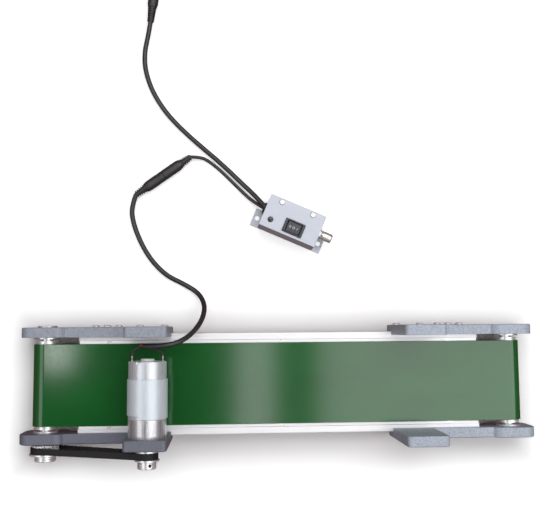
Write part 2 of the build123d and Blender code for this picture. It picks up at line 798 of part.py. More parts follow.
# ---- gear motor: motor ------------------------------------------------------------
can_front = gear_start                        # motor pieces run back from here
end_cap_thickness = 3.0
rear_boss_radius = 6.4
rear_boss_height = 2.2
boss_skin = 0.8            # what closes the boss over the shaft's end
core_radius = 11.5
core_length = 26.0
core_slot_depth = 5.8
core_slot_width = 2.2
magnet_inner = 12.6
magnet_length = 30.0
front_room = 6.0
commutator_radius = 4.5
commutator_length = 8.0
brush_gap = 0.3
terminal_offset = 14.4
terminal_length = 5.0
terminal_thickness = 0.8
terminal_width = 4.8
rim_notch_width = 4.0
rim_notch_depth = 1.8
magnet_gap_height = 14.0
brush_reach = 5.0
brush_width = 3.0
rotor_slots = 5
winding_length = 3.5
winding_radius = 10.0
winding_bore = 2.8
shaft_rear_reach = 1.0     # motor shaft past the end cap's inner face, into the boss


def behind(distance):
    """Plane a distance behind the can's front face."""
    return front_plane(can_front - distance)


with BuildPart() as motor_can:
    with BuildSketch(behind(0)):
        with Locations(motor_centre):
            Circle(can_radius)
    extrude(amount=-motor_length)
    with BuildSketch(behind(can_wall)):
        with Locations(motor_centre):
            Circle(can_radius - can_wall)
    extrude(amount=-motor_length, mode=Mode.SUBTRACT)
    with BuildSketch(behind(0)):
        with Locations(motor_centre):
            Circle(motor_shaft_radius + running_gap)
    extrude(amount=-can_wall, mode=Mode.SUBTRACT)
    # notches in the rim, where the can is crimped over the end cap
    with BuildSketch(behind(motor_length)):
        with Locations(motor_centre):
            with PolarLocations(can_radius, 4, start_angle=30):
                Rectangle(3 * can_wall, rim_notch_width)
    extrude(amount=rim_notch_depth, mode=Mode.SUBTRACT)
save(motor_can, "motor_can")

with BuildPart() as flux_ring:
    with BuildSketch(behind(ring_start)):
        with Locations(motor_centre):
            Circle(ring_radius)
            Circle(can_radius, mode=Mode.SUBTRACT)
    extrude(amount=-ring_length)
save(flux_ring, "motor_flux_ring")

with BuildPart() as end_cap:
    with BuildSketch(behind(motor_length - end_cap_thickness)):
        with Locations(motor_centre):
            Circle(can_radius - can_wall)
    extrude(amount=-end_cap_thickness)
    with BuildSketch(behind(motor_length)):
        with Locations(motor_centre):
            Circle(rear_boss_radius)
    extrude(amount=-rear_boss_height)
    with BuildSketch(behind(motor_length - end_cap_thickness)):
        with Locations(motor_centre):
            Circle(motor_shaft_radius + running_gap)
    extrude(amount=-(end_cap_thickness + rear_boss_height - boss_skin), mode=Mode.SUBTRACT)
    with BuildSketch(behind(motor_length - end_cap_thickness)):
        with Locations(motor_centre):
            with Locations((-terminal_offset, 0), (terminal_offset, 0)):
                Rectangle(terminal_thickness, terminal_width)
    extrude(amount=-end_cap_thickness, mode=Mode.SUBTRACT)
save(end_cap, "motor_end_cap")

with BuildPart() as terminals:
    with BuildSketch(behind(motor_length - end_cap_thickness)):
        with Locations(motor_centre):
            with Locations((-terminal_offset, 0), (terminal_offset, 0)):
                Rectangle(terminal_thickness, terminal_width)
    extrude(amount=-(end_cap_thickness + terminal_length))
save(terminals, "motor_terminals")

with BuildPart() as magnets:
    with BuildSketch(behind(front_room)):
        with Locations(motor_centre):
            Circle(can_radius - can_wall)
            Circle(magnet_inner, mode=Mode.SUBTRACT)
            Rectangle(3 * can_radius, magnet_gap_height, mode=Mode.SUBTRACT)
    extrude(amount=-magnet_length)
save(magnets, "motor_magnets")

cap_gap = 1.0              # commutator to end cap
commutator_start = motor_length - end_cap_thickness - commutator_length - cap_gap
brush_middle = commutator_radius + brush_gap + brush_reach / 2
with BuildPart() as brushes:
    with BuildSketch(behind(motor_length - end_cap_thickness)):
        with Locations(motor_centre):
            with Locations((-brush_middle, 0), (brush_middle, 0)):
                Rectangle(brush_reach, brush_width)
    extrude(amount=commutator_length - cap_gap)
save(brushes, "motor_brushes")

core_start = front_room + (magnet_length - core_length) / 2
with BuildPart() as rotor_core:
    with BuildSketch(behind(core_start)):
        with Locations(motor_centre):
            Circle(core_radius)
            with PolarLocations(core_radius, rotor_slots):
                SlotOverall(core_slot_depth * 2, core_slot_width, mode=Mode.SUBTRACT)
            Circle(motor_shaft_radius, mode=Mode.SUBTRACT)
    extrude(amount=-core_length)
save(rotor_core, "rotor_core")

with BuildPart() as windings:
    for near in (core_start - winding_length, core_start + core_length):
        with BuildSketch(behind(near)):
            with Locations(motor_centre):
                Circle(winding_radius)
                Circle(winding_bore, mode=Mode.SUBTRACT)
        extrude(amount=-winding_length)
save(windings, "rotor_windings")

with BuildPart() as commutator:
    with BuildSketch(behind(commutator_start)):
        with Locations(motor_centre):
            Circle(commutator_radius)
            Circle(motor_shaft_radius, mode=Mode.SUBTRACT)
    extrude(amount=-commutator_length)
save(commutator, "rotor_commutator")

with BuildPart() as motor_shaft:
    with BuildSketch(front_plane(planet_end)):
        with Locations(motor_centre):
            Circle(motor_shaft_radius)
    extrude(amount=-(planet_end - can_front + motor_length + shaft_rear_reach))
save(motor_shaft, "motor_shaft")


# ---- leads ------------------------------------------------------------------------


def corner_radii(points):
    """Arc for each inner point: 0.45 of the shorter run over the tangent of half the turn."""
    radii = []
    for before, here, after in zip(points, points[1:], points[2:]):
        arrive = Vector(*here) - Vector(*before)
        leave = Vector(*after) - Vector(*here)
        turn = radians(arrive.get_angle(leave))
        radii.append(0.45 * min(arrive.length, leave.length) / tan(turn / 2))
    return radii


def make_lead(name, points, radius):
    """Round lead along straight runs joined by tangent arcs."""
    radii = corner_radii(points)
    with BuildPart() as lead:
        with BuildLine() as path:
            FilletPolyline(*points, radius=radii)
        start = path.line @ 0
        with BuildSketch(Plane(origin=start, z_dir=path.line % 0)):
            Circle(radius)
        sweep()
    length = path.wires()[0].length
    share = lead.part.volume / (pi * radius ** 2 * length)
    print(f"{name}: length {length:.1f}, smallest radius {min(radii):.1f}, volume share {share:.4f}")
    print("   radii", [round(r, 1) for r in radii])
    save(lead, name)
    return lead


motor_lead_points = [
    (-129.0, 46.3, 66.0), (-113.5, 46.6, 66.0), (-98.5, 50.0, 61.0), (-85.5, 60.0, 49.0), (-77.5, 74.0, 32.5),
    (-76.5, 87.5, 15.0), (-83.5, 100.0, 4.0), (-99.5, 109.5, 2.6), (-117.0, 118.0, 2.6),
    (-133.0, 134.5, 2.6), (-144.5, 154.5, 2.6), (-152.0, 175.5, 2.6), (-153.0, 190.0, 3.8),
    (-148.4, 202.4, 5.6)]
controller_lead_points = [
    (-92.0, 242.7, 5.6), (-80.5, 243.6, 3.2), (-69.5, 237.0, 1.85), (-58.0, 227.0, 1.85),
    (-44.5, 213.5, 1.85), (-31.5, 200.5, 2.2), (-22.8, 193.6, 4.4), (-14.4, 187.9, 7.0)]
power_lead_points = [
    (-134.7, 388.5, 5.6), (-137.0, 374.5, 4.0), (-140.7, 358.5, 2.6), (-140.6, 340.5, 2.6),
    (-135.0, 320.5, 2.6), (-126.6, 304.0, 2.6), (-115.0, 287.5, 2.6), (-98.5, 270.5, 2.6),
    (-80.5, 254.3, 2.6), (-65.0, 241.2, 2.6), (-50.5, 227.8, 2.7), (-36.2, 213.3, 4.8),
    (-23.5, 200.5, 9.0), (-14.2, 188.6, 13.5)]
make_lead("motor_lead", motor_lead_points, lead_radius)
make_lead("controller_lead", controller_lead_points, thin_lead_radius)
make_lead("power_lead", power_lead_points, lead_radius)

# ---- short wires from the motor's terminals to the lead ---------------------------
wire_radius = 0.9
terminal_y = centre_y + motor_length - can_front + terminal_length
lead_start = motor_lead_points[0]
sleeve_length = 6.0
sleeve_radius = 2.8
left_wire = [
    (motor_x - terminal_offset, terminal_y - 1.0, motor_height),
    (motor_x - terminal_offset - 0.6, terminal_y + 3.6, motor_height + 0.4),
    (motor_x - terminal_offset + 6.5, terminal_y + 8.4, motor_height),
    (lead_start[0] - sleeve_length + 1.5, lead_start[1] + 0.6, lead_start[2] + 0.9)]
right_wire = [
    (motor_x + terminal_offset, terminal_y - 1.0, motor_height),
    (motor_x + terminal_offset - 1.5, terminal_y + 4.0, motor_height - 2.5),
    (motor_x + terminal_offset - 9.0, terminal_y + 7.5, motor_height - 6.6),
    (lead_start[0] - sleeve_length - 1.0, lead_start[1] - 0.6, lead_start[2] - 5.0),
    (lead_start[0] - sleeve_length - 2.4, lead_start[1] - 0.6, lead_start[2] - 1.2),
    (lead_start[0] - sleeve_length + 1.5, lead_start[1] - 0.7, lead_start[2] - 0.8)]
with BuildPart() as motor_wires:
    for route in (left_wire, right_wire):
        with BuildLine() as path:
            FilletPolyline(*route, radius=corner_radii(route))
        with BuildSketch(Plane(origin=path.line @ 0, z_dir=path.line % 0)):
            Circle(wire_radius)
        sweep(path=path.wires()[0])
save(motor_wires, "motor_wires")

with BuildPart() as lead_sleeve:
    with BuildSketch(Plane(origin=lead_start, z_dir=(-1, 0, 0))):
        Circle(sleeve_radius)
    extrude(amount=sleeve_length)
save(lead_sleeve, "motor_lead_sleeve")

# ---- in-line connector pair -------------------------------------------------------
connector_centre = (-120.1, 222.6, 5.6)
connector_turn = 35.5
shell_length = 22.75
relief_length = 13.0
relief_tip_radius = 3.4
relief_step = 0.9          # shell to the start of its relief
barrel_radius = 2.75       # round power plug, 5.5 mm outside
barrel_length = 9.5
barrel_bore = 1.25
contact_radius = 1.0       # pin in the middle of a socket
socket_clearance = 0.05
socket_depth = 10.0


def turned_shell(origin, way, stations):
    """Round shell from (distance, radius) stations along a direction."""
    base = Plane(origin=origin, z_dir=way)
    with BuildPart() as shell:
        for (near, r_near), (far, r_far) in zip(stations, stations[1:]):
            if far > near:
                with BuildSketch(base.offset(near)):
                    Circle(r_near)
                if r_far == r_near:
                    extrude(amount=far - near)
                else:
                    with BuildSketch(base.offset(far)):
                        Circle(r_far)
                    loft()
    return shell


def add_barrel(shell, origin, way):
    """The shell with a hollow barrel standing on its mating face."""
    with BuildPart() as plug:
        add(shell.part)
        with BuildSketch(Plane(origin=origin, z_dir=way)):
            Circle(barrel_radius)
        extrude(amount=barrel_length)
        with BuildSketch(Plane(origin=origin, z_dir=way)):
            Circle(barrel_bore)
        extrude(amount=barrel_length, mode=Mode.SUBTRACT)
    return plug


def cut_socket(shell, origin, way):
    """The shell with a socket for a barrel in its mating face, and a contact pin in it."""
    with BuildPart() as socket:
        add(shell.part)
        with BuildSketch(Plane(origin=origin, z_dir=way)):
            Circle(barrel_radius + socket_clearance)
            Circle(contact_radius, mode=Mode.SUBTRACT)
        extrude(amount=socket_depth, mode=Mode.SUBTRACT)
    return socket


connector_way = (cos(radians(connector_turn)), sin(radians(connector_turn)), 0)
connector_back = (-connector_way[0], -connector_way[1], 0)
half_shell = [(0, connector_radius), (shell_length, connector_radius),
              (shell_length, connector_radius - relief_step), (shell_length + relief_length, relief_tip_radius)]
lead_plug = turned_shell(connector_centre, connector_back, half_shell)
lead_plug = add_barrel(lead_plug, connector_centre, connector_way)
save(lead_plug, "lead_plug")
lead_socket = turned_shell(connector_centre, connector_way, half_shell)
lead_socket = cut_socket(lead_socket, connector_centre, connector_way)
save(lead_socket, "lead_socket")

power_plug_start = (-134.8, 387.5, 5.6)
power_plug_way = (0.1167, 0.9932, 0)
power_relief = 17.4
power_shell = 27.0
power_socket = turned_shell(
    power_plug_start, power_plug_way,
    [(0, relief_tip_radius), (power_relief, connector_radius - relief_step),
     (power_relief, connector_radius), (power_relief + power_shell, connector_radius)])
power_face = Vector(*power_plug_start) + Vector(*power_plug_way) * (power_relief + power_shell)
power_socket = cut_socket(power_socket, power_face, Vector(*power_plug_way) * -1)
save(power_socket, "power_socket")

# ---- speed controller -------------------------------------------------------------
box_frame = Plane(origin=(box_x, box_y, 0)).rotated((0, 0, box_turn))


def box_plane(u, v, z):
    """Level plane in the box's own directions."""
    return Plane(origin=box_frame.from_local_coords(Vector(u, v, z)), x_dir=box_frame.x_dir, z_dir=(0, 0, 1))


def end_plane(u, v, z):
    """Upright plane on an end of the box, facing along its length."""
    return Plane(origin=box_frame.from_local_coords(Vector(u, v, z)), x_dir=box_frame.y_dir, z_dir=box_frame.x_dir)


switch_u, switch_v = 3.7, -7.0
bezel_length, bezel_width = 21.3, 14.6
cutout_length, cutout_width = 19.0, 12.6
led_u, led_v = -21.4, -8.0
led_radius = 2.9
cover_screw_u = 17.0
cover_screw_v = 14.3 - box_wall
knob_height = 17.0
pot_bush_radius = 3.5
lead_slot_v = 4.0
lead_slot_z = 10.3
lead_slot_width = 8.6
lead_slot_height = 16.0
grommet_lip = 2.5
grommet_rim = 1.0
fit_gap = 0.15

ear_reach = box_length / 2 + ear_length
ear_v = -box_width / 2 + ear_width / 2
with BuildPart() as controller_base:
    # floor with an ear at each end
    with BuildSketch(box_plane(0, 0, 0)):
        Rectangle(box_length, box_width)
        with Locations((0, ear_v)):
            Rectangle(2 * ear_reach, ear_width)
        with Locations((-ear_hole_spacing / 2, ear_v), (ear_hole_spacing / 2, ear_v)):
            Circle(ear_hole_radius, mode=Mode.SUBTRACT)
    extrude(amount=box_wall)
    # end walls
    with BuildSketch(box_plane(0, 0, box_wall)):
        for end in (-1, 1):
            with Locations((end * (box_length - box_wall) / 2, 0)):
                Rectangle(box_wall, box_width)
    extrude(amount=box_height - 2 * box_wall)
    with BuildSketch(end_plane(box_length / 2, 0, 0)):
        with Locations((0, knob_height)):
            Circle(pot_bush_radius + screw_clearance)
    extrude(amount=-box_wall, mode=Mode.SUBTRACT)
    with BuildSketch(end_plane(-box_length / 2, 0, 0)):
        with Locations((lead_slot_v, lead_slot_z)):
            SlotOverall(lead_slot_height, lead_slot_width, rotation=90)
    extrude(amount=box_wall, mode=Mode.SUBTRACT)
save(controller_base, "controller_base")

inner_length = box_length - 2 * box_wall - 2 * fit_gap
cover_screw_radius = 1.5
with BuildPart() as controller_cover:
    # top plate
    with BuildSketch(box_plane(0, 0, box_height - box_wall)):
        Rectangle(box_length, box_width)
        with Locations((switch_u, switch_v)):
            Rectangle(cutout_length, cutout_width, mode=Mode.SUBTRACT)
        with Locations((led_u, led_v)):
            Circle(led_radius, mode=Mode.SUBTRACT)
        with Locations((-cover_screw_u, cover_screw_v), (cover_screw_u, cover_screw_v)):
            Circle(cover_screw_radius + screw_clearance, mode=Mode.SUBTRACT)
    extrude(amount=box_wall)
    # long sides, standing on the base between its end walls
    with BuildSketch(box_plane(0, 0, box_wall)):
        for side in (-1, 1):
            with Locations((0, side * (box_width - box_wall) / 2)):
                Rectangle(inner_length, box_wall)
    extrude(amount=box_height - 2 * box_wall)
save(controller_cover, "controller_cover")

screw_head_radius = 3.0
screw_head_height = 1.6
cover_screw_length = 8.0
recess_length, recess_width, recess_depth = 3.0, 0.6, 0.8
with BuildPart() as controller_screws:
    with BuildSketch(box_plane(0, 0, box_height)):
        with Locations((-cover_screw_u, cover_screw_v), (cover_screw_u, cover_screw_v)):
            Circle(screw_head_radius)
    extrude(amount=screw_head_height)
    chamfer(controller_screws.faces().filter_by(Axis.Z).group_by(Axis.Z)[-1].edges(), length=0.7)
    with BuildSketch(box_plane(0, 0, box_height)):
        with Locations((-cover_screw_u, cover_screw_v), (cover_screw_u, cover_screw_v)):
            Circle(cover_screw_radius)
    extrude(amount=-cover_screw_length)
    with BuildSketch(box_plane(0, 0, box_height + screw_head_height)):
        with Locations((-cover_screw_u, cover_screw_v), (cover_screw_u, cover_screw_v)):
            with Locations(Location((0, 0), 0), Location((0, 0), 90)):
                Rectangle(recess_length, recess_width)
    extrude(amount=-recess_depth, mode=Mode.SUBTRACT)
save(controller_screws, "controller_screws")

board_length, board_width, board_thickness = 50.0, 24.0, 1.6
board_top = 9.0
board_u, board_v = 2.0, -1.5
capacitor_radius, capacitor_height = 4.0, 9.0
terminal_block = (9.0, 6.0, 5.0)
with BuildPart() as controller_board:
    with BuildSketch(box_plane(board_u, board_v, board_top)):
        Rectangle(board_length, board_width)
    extrude(amount=-board_thickness)
    with BuildSketch(box_plane(-12, -7, board_top)):
        Circle(capacitor_radius)
    extrude(amount=capacitor_height)
    with BuildSketch(box_plane(-12, 4, board_top)):
        Rectangle(terminal_block[0], terminal_block[1])
    extrude(amount=terminal_block[2])
save(controller_board, "controller_board")

bezel_lip = 1.8
bezel_round = 1.2
bezel_chamfer = 0.7
switch_depth = 13.0
well_depth = 6.5           # room under the bezel for the rocker
pivot_z = box_height + bezel_lip - 2.0
rocker_length, rocker_width = 15.0, 10.4
rocker_gap = 0.5
pivot_pin_radius = 0.8
pivot_pin_reach = rocker_width / 2 + rocker_gap + 0.35     # each way from the rocker's middle


def across_switch(v):
    """Upright plane along the box, v from its middle, with the switch's pivot as its origin."""
    return Plane(origin=box_frame.from_local_coords(Vector(switch_u, v, pivot_z)),
                 x_dir=box_frame.x_dir, z_dir=-box_frame.y_dir)


with BuildPart() as switch_body:
    with BuildSketch(box_plane(switch_u, switch_v, box_height)):
        RectangleRounded(bezel_length, bezel_width, bezel_round)
    extrude(amount=bezel_lip)
    chamfer(switch_body.faces().sort_by(Axis.Z)[-1].edges(), length=bezel_chamfer)
    with BuildSketch(box_plane(switch_u, switch_v, box_height)):
        Rectangle(cutout_length - 2 * fit_gap, cutout_width - 2 * fit_gap)
    extrude(amount=-switch_depth)
    with BuildSketch(box_plane(switch_u, switch_v, box_height + bezel_lip)):
        Rectangle(rocker_length + 2 * rocker_gap, rocker_width + 2 * rocker_gap)
    extrude(amount=-(bezel_lip + well_depth), mode=Mode.SUBTRACT)
    with BuildSketch(across_switch(switch_v + pivot_pin_reach)):
        Circle(pivot_pin_radius + running_gap)
    extrude(amount=2 * pivot_pin_reach, mode=Mode.SUBTRACT)
save(switch_body, "switch_body")

rocker_rise = 1.6          # its ends above the pivot
rocker_dip = 0.9           # its middle above the pivot
rocker_half = rocker_length / 2 - 0.4
rocker_outline = [(rocker_half, rocker_rise), (rocker_half - 1.2, -2.6), (2.5, -3.6),
                  (-2.5, -3.6), (1.2 - rocker_half, -2.6), (-rocker_half, rocker_rise)]
with BuildPart() as switch_rocker:
    with BuildSketch(across_switch(switch_v + rocker_width / 2)):
        with BuildLine():
            Polyline(*rocker_outline)
            ThreePointArc(rocker_outline[-1], (0, rocker_dip), rocker_outline[0])
        make_face()
    extrude(amount=rocker_width)
    with BuildSketch(across_switch(switch_v + pivot_pin_reach)):
        Circle(pivot_pin_radius)
    extrude(amount=2 * pivot_pin_reach)
save(switch_rocker, "switch_rocker")

led_depth = 2.0            # under the cover
led_rise = 0.8             # above it
led_chamfer = 0.4
with BuildPart() as led:
    with BuildSketch(box_plane(led_u, led_v, box_height - box_wall - led_depth)):
        Circle(led_radius)
    extrude(amount=led_depth + box_wall + led_rise)
    chamfer(led.faces().sort_by(Axis.Z)[-1].edges(), length=led_chamfer)
save(led, "controller_led")

pot_radius = 8.0
pot_depth = 9.0
pot_shaft_radius = 1.8
pot_shaft_depth = 4.0      # hole for the shaft behind the wall's inner face
pot_nut_radius = 5.2
pot_nut_thickness = 2.0
bush_out = 5.0
with BuildPart() as potentiometer:
    with BuildSketch(end_plane(box_length / 2 - box_wall, 0, knob_height)):
        Circle(pot_radius)
    extrude(amount=-pot_depth)
    with BuildSketch(end_plane(box_length / 2 - box_wall, 0, knob_height)):
        Circle(pot_bush_radius)
    extrude(amount=box_wall + bush_out)
    with BuildSketch(end_plane(box_length / 2 + bush_out, 0, knob_height)):
        Circle(pot_shaft_radius + running_gap)
    extrude(amount=-(bush_out + box_wall + pot_shaft_depth), mode=Mode.SUBTRACT)
    with BuildSketch(end_plane(box_length / 2, 0, knob_height)):
        RegularPolygon(pot_nut_radius, 6)
        Circle(pot_bush_radius, mode=Mode.SUBTRACT)
    extrude(amount=pot_nut_thickness)
save(potentiometer, "potentiometer")

knob_radius = 4.7
knob_start = box_length / 2 + 2.4
knob_length = 12.1
knob_end = knob_start + knob_length
knob_chamfer = 0.5
knob_clearance = 0.3
knob_grip = 4.0            # shaft held inside the knob
pointer_length = 2.6
pointer_width = 0.8
with BuildPart() as speed_knob:
    with BuildSketch(end_plane(knob_start, 0, knob_height)):
        Circle(knob_radius)
    extrude(amount=knob_length)
    chamfer(speed_knob.faces().filter_by(GeomType.PLANE).sort_by(Axis.X)[-1].edges(), length=knob_chamfer)
    # room for the bush, and the shaft that runs in it
    with BuildSketch(end_plane(knob_start, 0, knob_height)):
        Circle(pot_bush_radius + knob_clearance)
    extrude(amount=box_length / 2 + bush_out + knob_clearance - knob_start, mode=Mode.SUBTRACT)
    with BuildSketch(end_plane(box_length / 2 + bush_out + knob_grip, 0, knob_height)):
        Circle(pot_shaft_radius)
    extrude(amount=-(knob_grip + bush_out + box_wall + pot_shaft_depth - knob_clearance))
    # groove that shows where the knob points
    with BuildSketch(end_plane(knob_end, 0, knob_height)):
        with Locations((0, knob_radius)):
            Rectangle(pointer_width, 2 * pointer_length)
    extrude(amount=-pointer_length, mode=Mode.SUBTRACT)
save(speed_knob, "speed_knob")

with BuildPart() as cable_grommet:
    with BuildSketch(end_plane(-box_length / 2, 0, 0)):
        with Locations((lead_slot_v, lead_slot_z)):
            SlotOverall(lead_slot_height, lead_slot_width, rotation=90)
    extrude(amount=box_wall)
    for near, thickness in ((-box_length / 2, -grommet_lip), (-box_length / 2 + box_wall, grommet_rim)):
        with BuildSketch(end_plane(near, 0, 0)):
            with Locations((lead_slot_v, lead_slot_z)):
                SlotOverall(lead_slot_height + 2 * grommet_rim, lead_slot_width + 2 * grommet_rim, rotation=90)
        extrude(amount=thickness)
save(cable_grommet, "cable_grommet")
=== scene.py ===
"""Looks of the bench belt conveyor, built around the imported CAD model.
Everything is in metres in the row frame: +X along the belt, +Y to the rear, +Z up."""

import json
from math import acos, atan2, cos, pi, radians, sin

import bmesh
import bpy
from mathutils import Matrix, Vector


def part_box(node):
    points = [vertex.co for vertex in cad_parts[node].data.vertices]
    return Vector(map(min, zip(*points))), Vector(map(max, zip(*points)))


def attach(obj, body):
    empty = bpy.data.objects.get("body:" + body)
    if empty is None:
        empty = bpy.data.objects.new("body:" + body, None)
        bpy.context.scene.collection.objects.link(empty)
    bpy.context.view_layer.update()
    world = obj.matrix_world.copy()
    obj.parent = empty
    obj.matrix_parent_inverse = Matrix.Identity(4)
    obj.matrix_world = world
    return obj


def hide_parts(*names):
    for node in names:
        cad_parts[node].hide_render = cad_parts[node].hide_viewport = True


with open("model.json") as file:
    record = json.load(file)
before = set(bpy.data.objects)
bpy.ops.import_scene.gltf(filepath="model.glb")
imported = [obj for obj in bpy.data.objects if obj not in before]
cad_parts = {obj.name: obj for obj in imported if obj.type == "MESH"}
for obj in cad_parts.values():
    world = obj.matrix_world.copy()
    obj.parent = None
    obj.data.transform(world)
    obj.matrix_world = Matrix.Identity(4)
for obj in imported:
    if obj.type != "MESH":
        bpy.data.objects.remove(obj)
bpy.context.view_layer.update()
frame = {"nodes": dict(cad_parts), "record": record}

MM = 0.001
X_WAY, Y_WAY, Z_WAY = Vector((1, 0, 0)), Vector((0, 1, 0)), Vector((0, 0, 1))


# ---- places, all read from the frame ------------------------------------------------

def low_corner(node):
    return Vector(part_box(node)[0])


def high_corner(node):
    return Vector(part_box(node)[1])


def middle(node):
    return (low_corner(node) + high_corner(node)) / 2


def along_y(node):
    """The Y where a node starts and where it ends."""
    return low_corner(node).y, high_corner(node).y


def radius_of(node):
    return (high_corner(node).x - low_corner(node).x) / 2


# ---- camera ------------------------------------------------------------------------

CAMERA_PLACE = (-0.055918, 0.062510, 0.802580)
CAMERA_TURNS = (5.2693, -3.4544, -0.4563)
CAMERA_LENS = 50.762
SENSOR_WIDTH = 36.0


def make_camera():
    """Almost straight above the conveyor's drive half."""
    data = bpy.data.cameras.new("camera")
    data.sensor_width = SENSOR_WIDTH
    data.lens = CAMERA_LENS
    data.clip_start = 0.01
    camera = bpy.data.objects.new("camera", data)
    camera.location = CAMERA_PLACE
    camera.rotation_euler = [radians(turn) for turn in CAMERA_TURNS]
    bpy.context.scene.collection.objects.link(camera)
    bpy.context.scene.camera = camera


# ---- materials ---------------------------------------------------------------------

def paint(red, green, blue):
    """Linear colour from everyday 0 to 255 values."""
    shares = [value / 255 for value in (red, green, blue)]
    return [s / 12.92 if s <= 0.04045 else ((s + 0.055) / 1.055) ** 2.4 for s in shares]


def scaled(colour, factor):
    return (*[min(1.0, channel * factor) for channel in colour], 1.0)


def add_node(tree, kind, **settings):
    node = tree.nodes.new(kind)
    for key, value in settings.items():
        if hasattr(node, key):
            setattr(node, key, value)
        else:
            node.inputs[key].default_value = value
    return node


def new_material(name, metallic, roughness, coat=0.0):
    material = bpy.data.materials.new(name)
    material.use_nodes = True
    shader = material.node_tree.nodes["Principled BSDF"]
    shader.inputs["Metallic"].default_value = metallic
    shader.inputs["Roughness"].default_value = roughness
    shader.inputs["Coat Weight"].default_value = coat
    shader.inputs["Coat Roughness"].default_value = 0.08
    return material, material.node_tree, shader


def pattern(tree, scale, detail=3.0, kind="ShaderNodeTexNoise"):
    """Noise in the piece's own coordinates; scale is cells per metre along X, Y and Z."""
    place = add_node(tree, "ShaderNodeTexCoord")
    stretch = add_node(tree, "ShaderNodeMapping", Scale=scale)
    noise = add_node(tree, kind, Scale=1.0)
    if "Detail" in noise.inputs:
        noise.inputs["Detail"].default_value = detail
    tree.links.new(place.outputs["Object"], stretch.inputs["Vector"])
    tree.links.new(stretch.outputs["Vector"], noise.inputs["Vector"])
    return noise


def tint(tree, shader, source, colour, spread, start=0.3, end=0.7):
    """Base colour that moves between a darker and a lighter tone of one colour."""
    ramp = add_node(tree, "ShaderNodeValToRGB")
    first, last = ramp.color_ramp.elements
    first.position, last.position = start, end
    first.color, last.color = scaled(colour, 1 - spread), scaled(colour, 1 + spread)
    tree.links.new(source, ramp.inputs["Fac"])
    tree.links.new(ramp.outputs["Color"], shader.inputs["Base Color"])
    return ramp


def wear(tree, shader, source, roughness, spread):
    """Roughness that moves a little about its value."""
    spans = add_node(tree, "ShaderNodeMapRange")
    spans.inputs["From Min"].default_value = 0.3
    spans.inputs["From Max"].default_value = 0.7
    spans.inputs["To Min"].default_value = max(0.02, roughness - spread)
    spans.inputs["To Max"].default_value = min(1.0, roughness + spread)
    tree.links.new(source, spans.inputs["Value"])
    tree.links.new(spans.outputs["Result"], shader.inputs["Roughness"])


def relief(tree, shader, source, strength, height):
    bump = add_node(tree, "ShaderNodeBump", Strength=strength, Distance=height)
    tree.links.new(source, bump.inputs["Height"])
    tree.links.new(bump.outputs["Normal"], shader.inputs["Normal"])


def plain_finish(name, colour, roughness, metallic=0.0, spread=0.07, scale=(700, 700, 700), rub=0.06,
                 strength=0.15, height=0.00003, coat=0.0):
    """One colour with fine variation in tone, gloss and surface; the scale sets grain or brush lines."""
    material, tree, shader = new_material(name, metallic, roughness, coat)
    noise = pattern(tree, scale)
    tint(tree, shader, noise.outputs["Fac"], colour, spread)
    wear(tree, shader, noise.outputs["Fac"], roughness, rub)
    relief(tree, shader, noise.outputs["Fac"], strength, height)
    return material


def speckled_finish(name, colour, roughness, spread):
    """Printed plastic full of light and dark flecks about a millimetre wide."""
    material, tree, shader = new_material(name, 0.1, roughness)
    flecks = pattern(tree, (1000, 1000, 1000), kind="ShaderNodeTexVoronoi")
    split = add_node(tree, "ShaderNodeSeparateColor")
    tree.links.new(flecks.outputs["Color"], split.inputs["Color"])
    cloud = pattern(tree, (420, 420, 420), detail=5.0)
    mixed = add_node(tree, "ShaderNodeMix", data_type="FLOAT")
    mixed.inputs[0].default_value = 0.45
    tree.links.new(split.outputs["Red"], mixed.inputs[2])
    tree.links.new(cloud.outputs["Fac"], mixed.inputs[3])
    tint(tree, shader, mixed.outputs[0], colour, spread, 0.25, 0.75)
    wear(tree, shader, split.outputs["Green"], roughness, 0.12)
    relief(tree, shader, mixed.outputs[0], 0.25, 0.00006)
    return material


BELT_GLOSS = 0.13
BELT_IOR = 1.6


def belt_finish(name, colour):
    """Smooth carrying side: deep colour, a clear gloss, and the faint waviness of rolled sheet."""
    material, tree, shader = new_material(name, 0.0, BELT_GLOSS)
    shader.inputs["IOR"].default_value = BELT_IOR
    broad = pattern(tree, (14, 30, 14), detail=4.0)
    tint(tree, shader, broad.outputs["Fac"], colour, 0.10)
    fine = pattern(tree, (520, 520, 520), detail=2.0)
    wear(tree, shader, fine.outputs["Fac"], BELT_GLOSS, 0.02)
    relief(tree, shader, fine.outputs["Fac"], 0.05, 0.00002)
    return material


def weave_finish(name, colour):
    """Fabric carrying layer on the belt's inside: crossed threads about 0.7 mm apart."""
    material, tree, shader = new_material(name, 0.0, 0.85)
    place = add_node(tree, "ShaderNodeTexCoord")
    threads = []
    for direction in ("X", "Y"):
        wave = add_node(tree, "ShaderNodeTexWave", Scale=220.0, Distortion=0.6)
        wave.bands_direction = direction
        tree.links.new(place.outputs["Object"], wave.inputs["Vector"])
        threads.append(wave)
    both = add_node(tree, "ShaderNodeMath", operation="MULTIPLY")
    tree.links.new(threads[0].outputs["Fac"], both.inputs[0])
    tree.links.new(threads[1].outputs["Fac"], both.inputs[1])
    tint(tree, shader, both.outputs["Value"], colour, 0.25, 0.1, 0.9)
    relief(tree, shader, both.outputs["Value"], 0.5, 0.0001)
    return material


BRUSHED_X = (25, 2200, 2200)
TURNED_Y = (18, 2600, 18)
DRAWN_Y = (1100, 30, 1100)


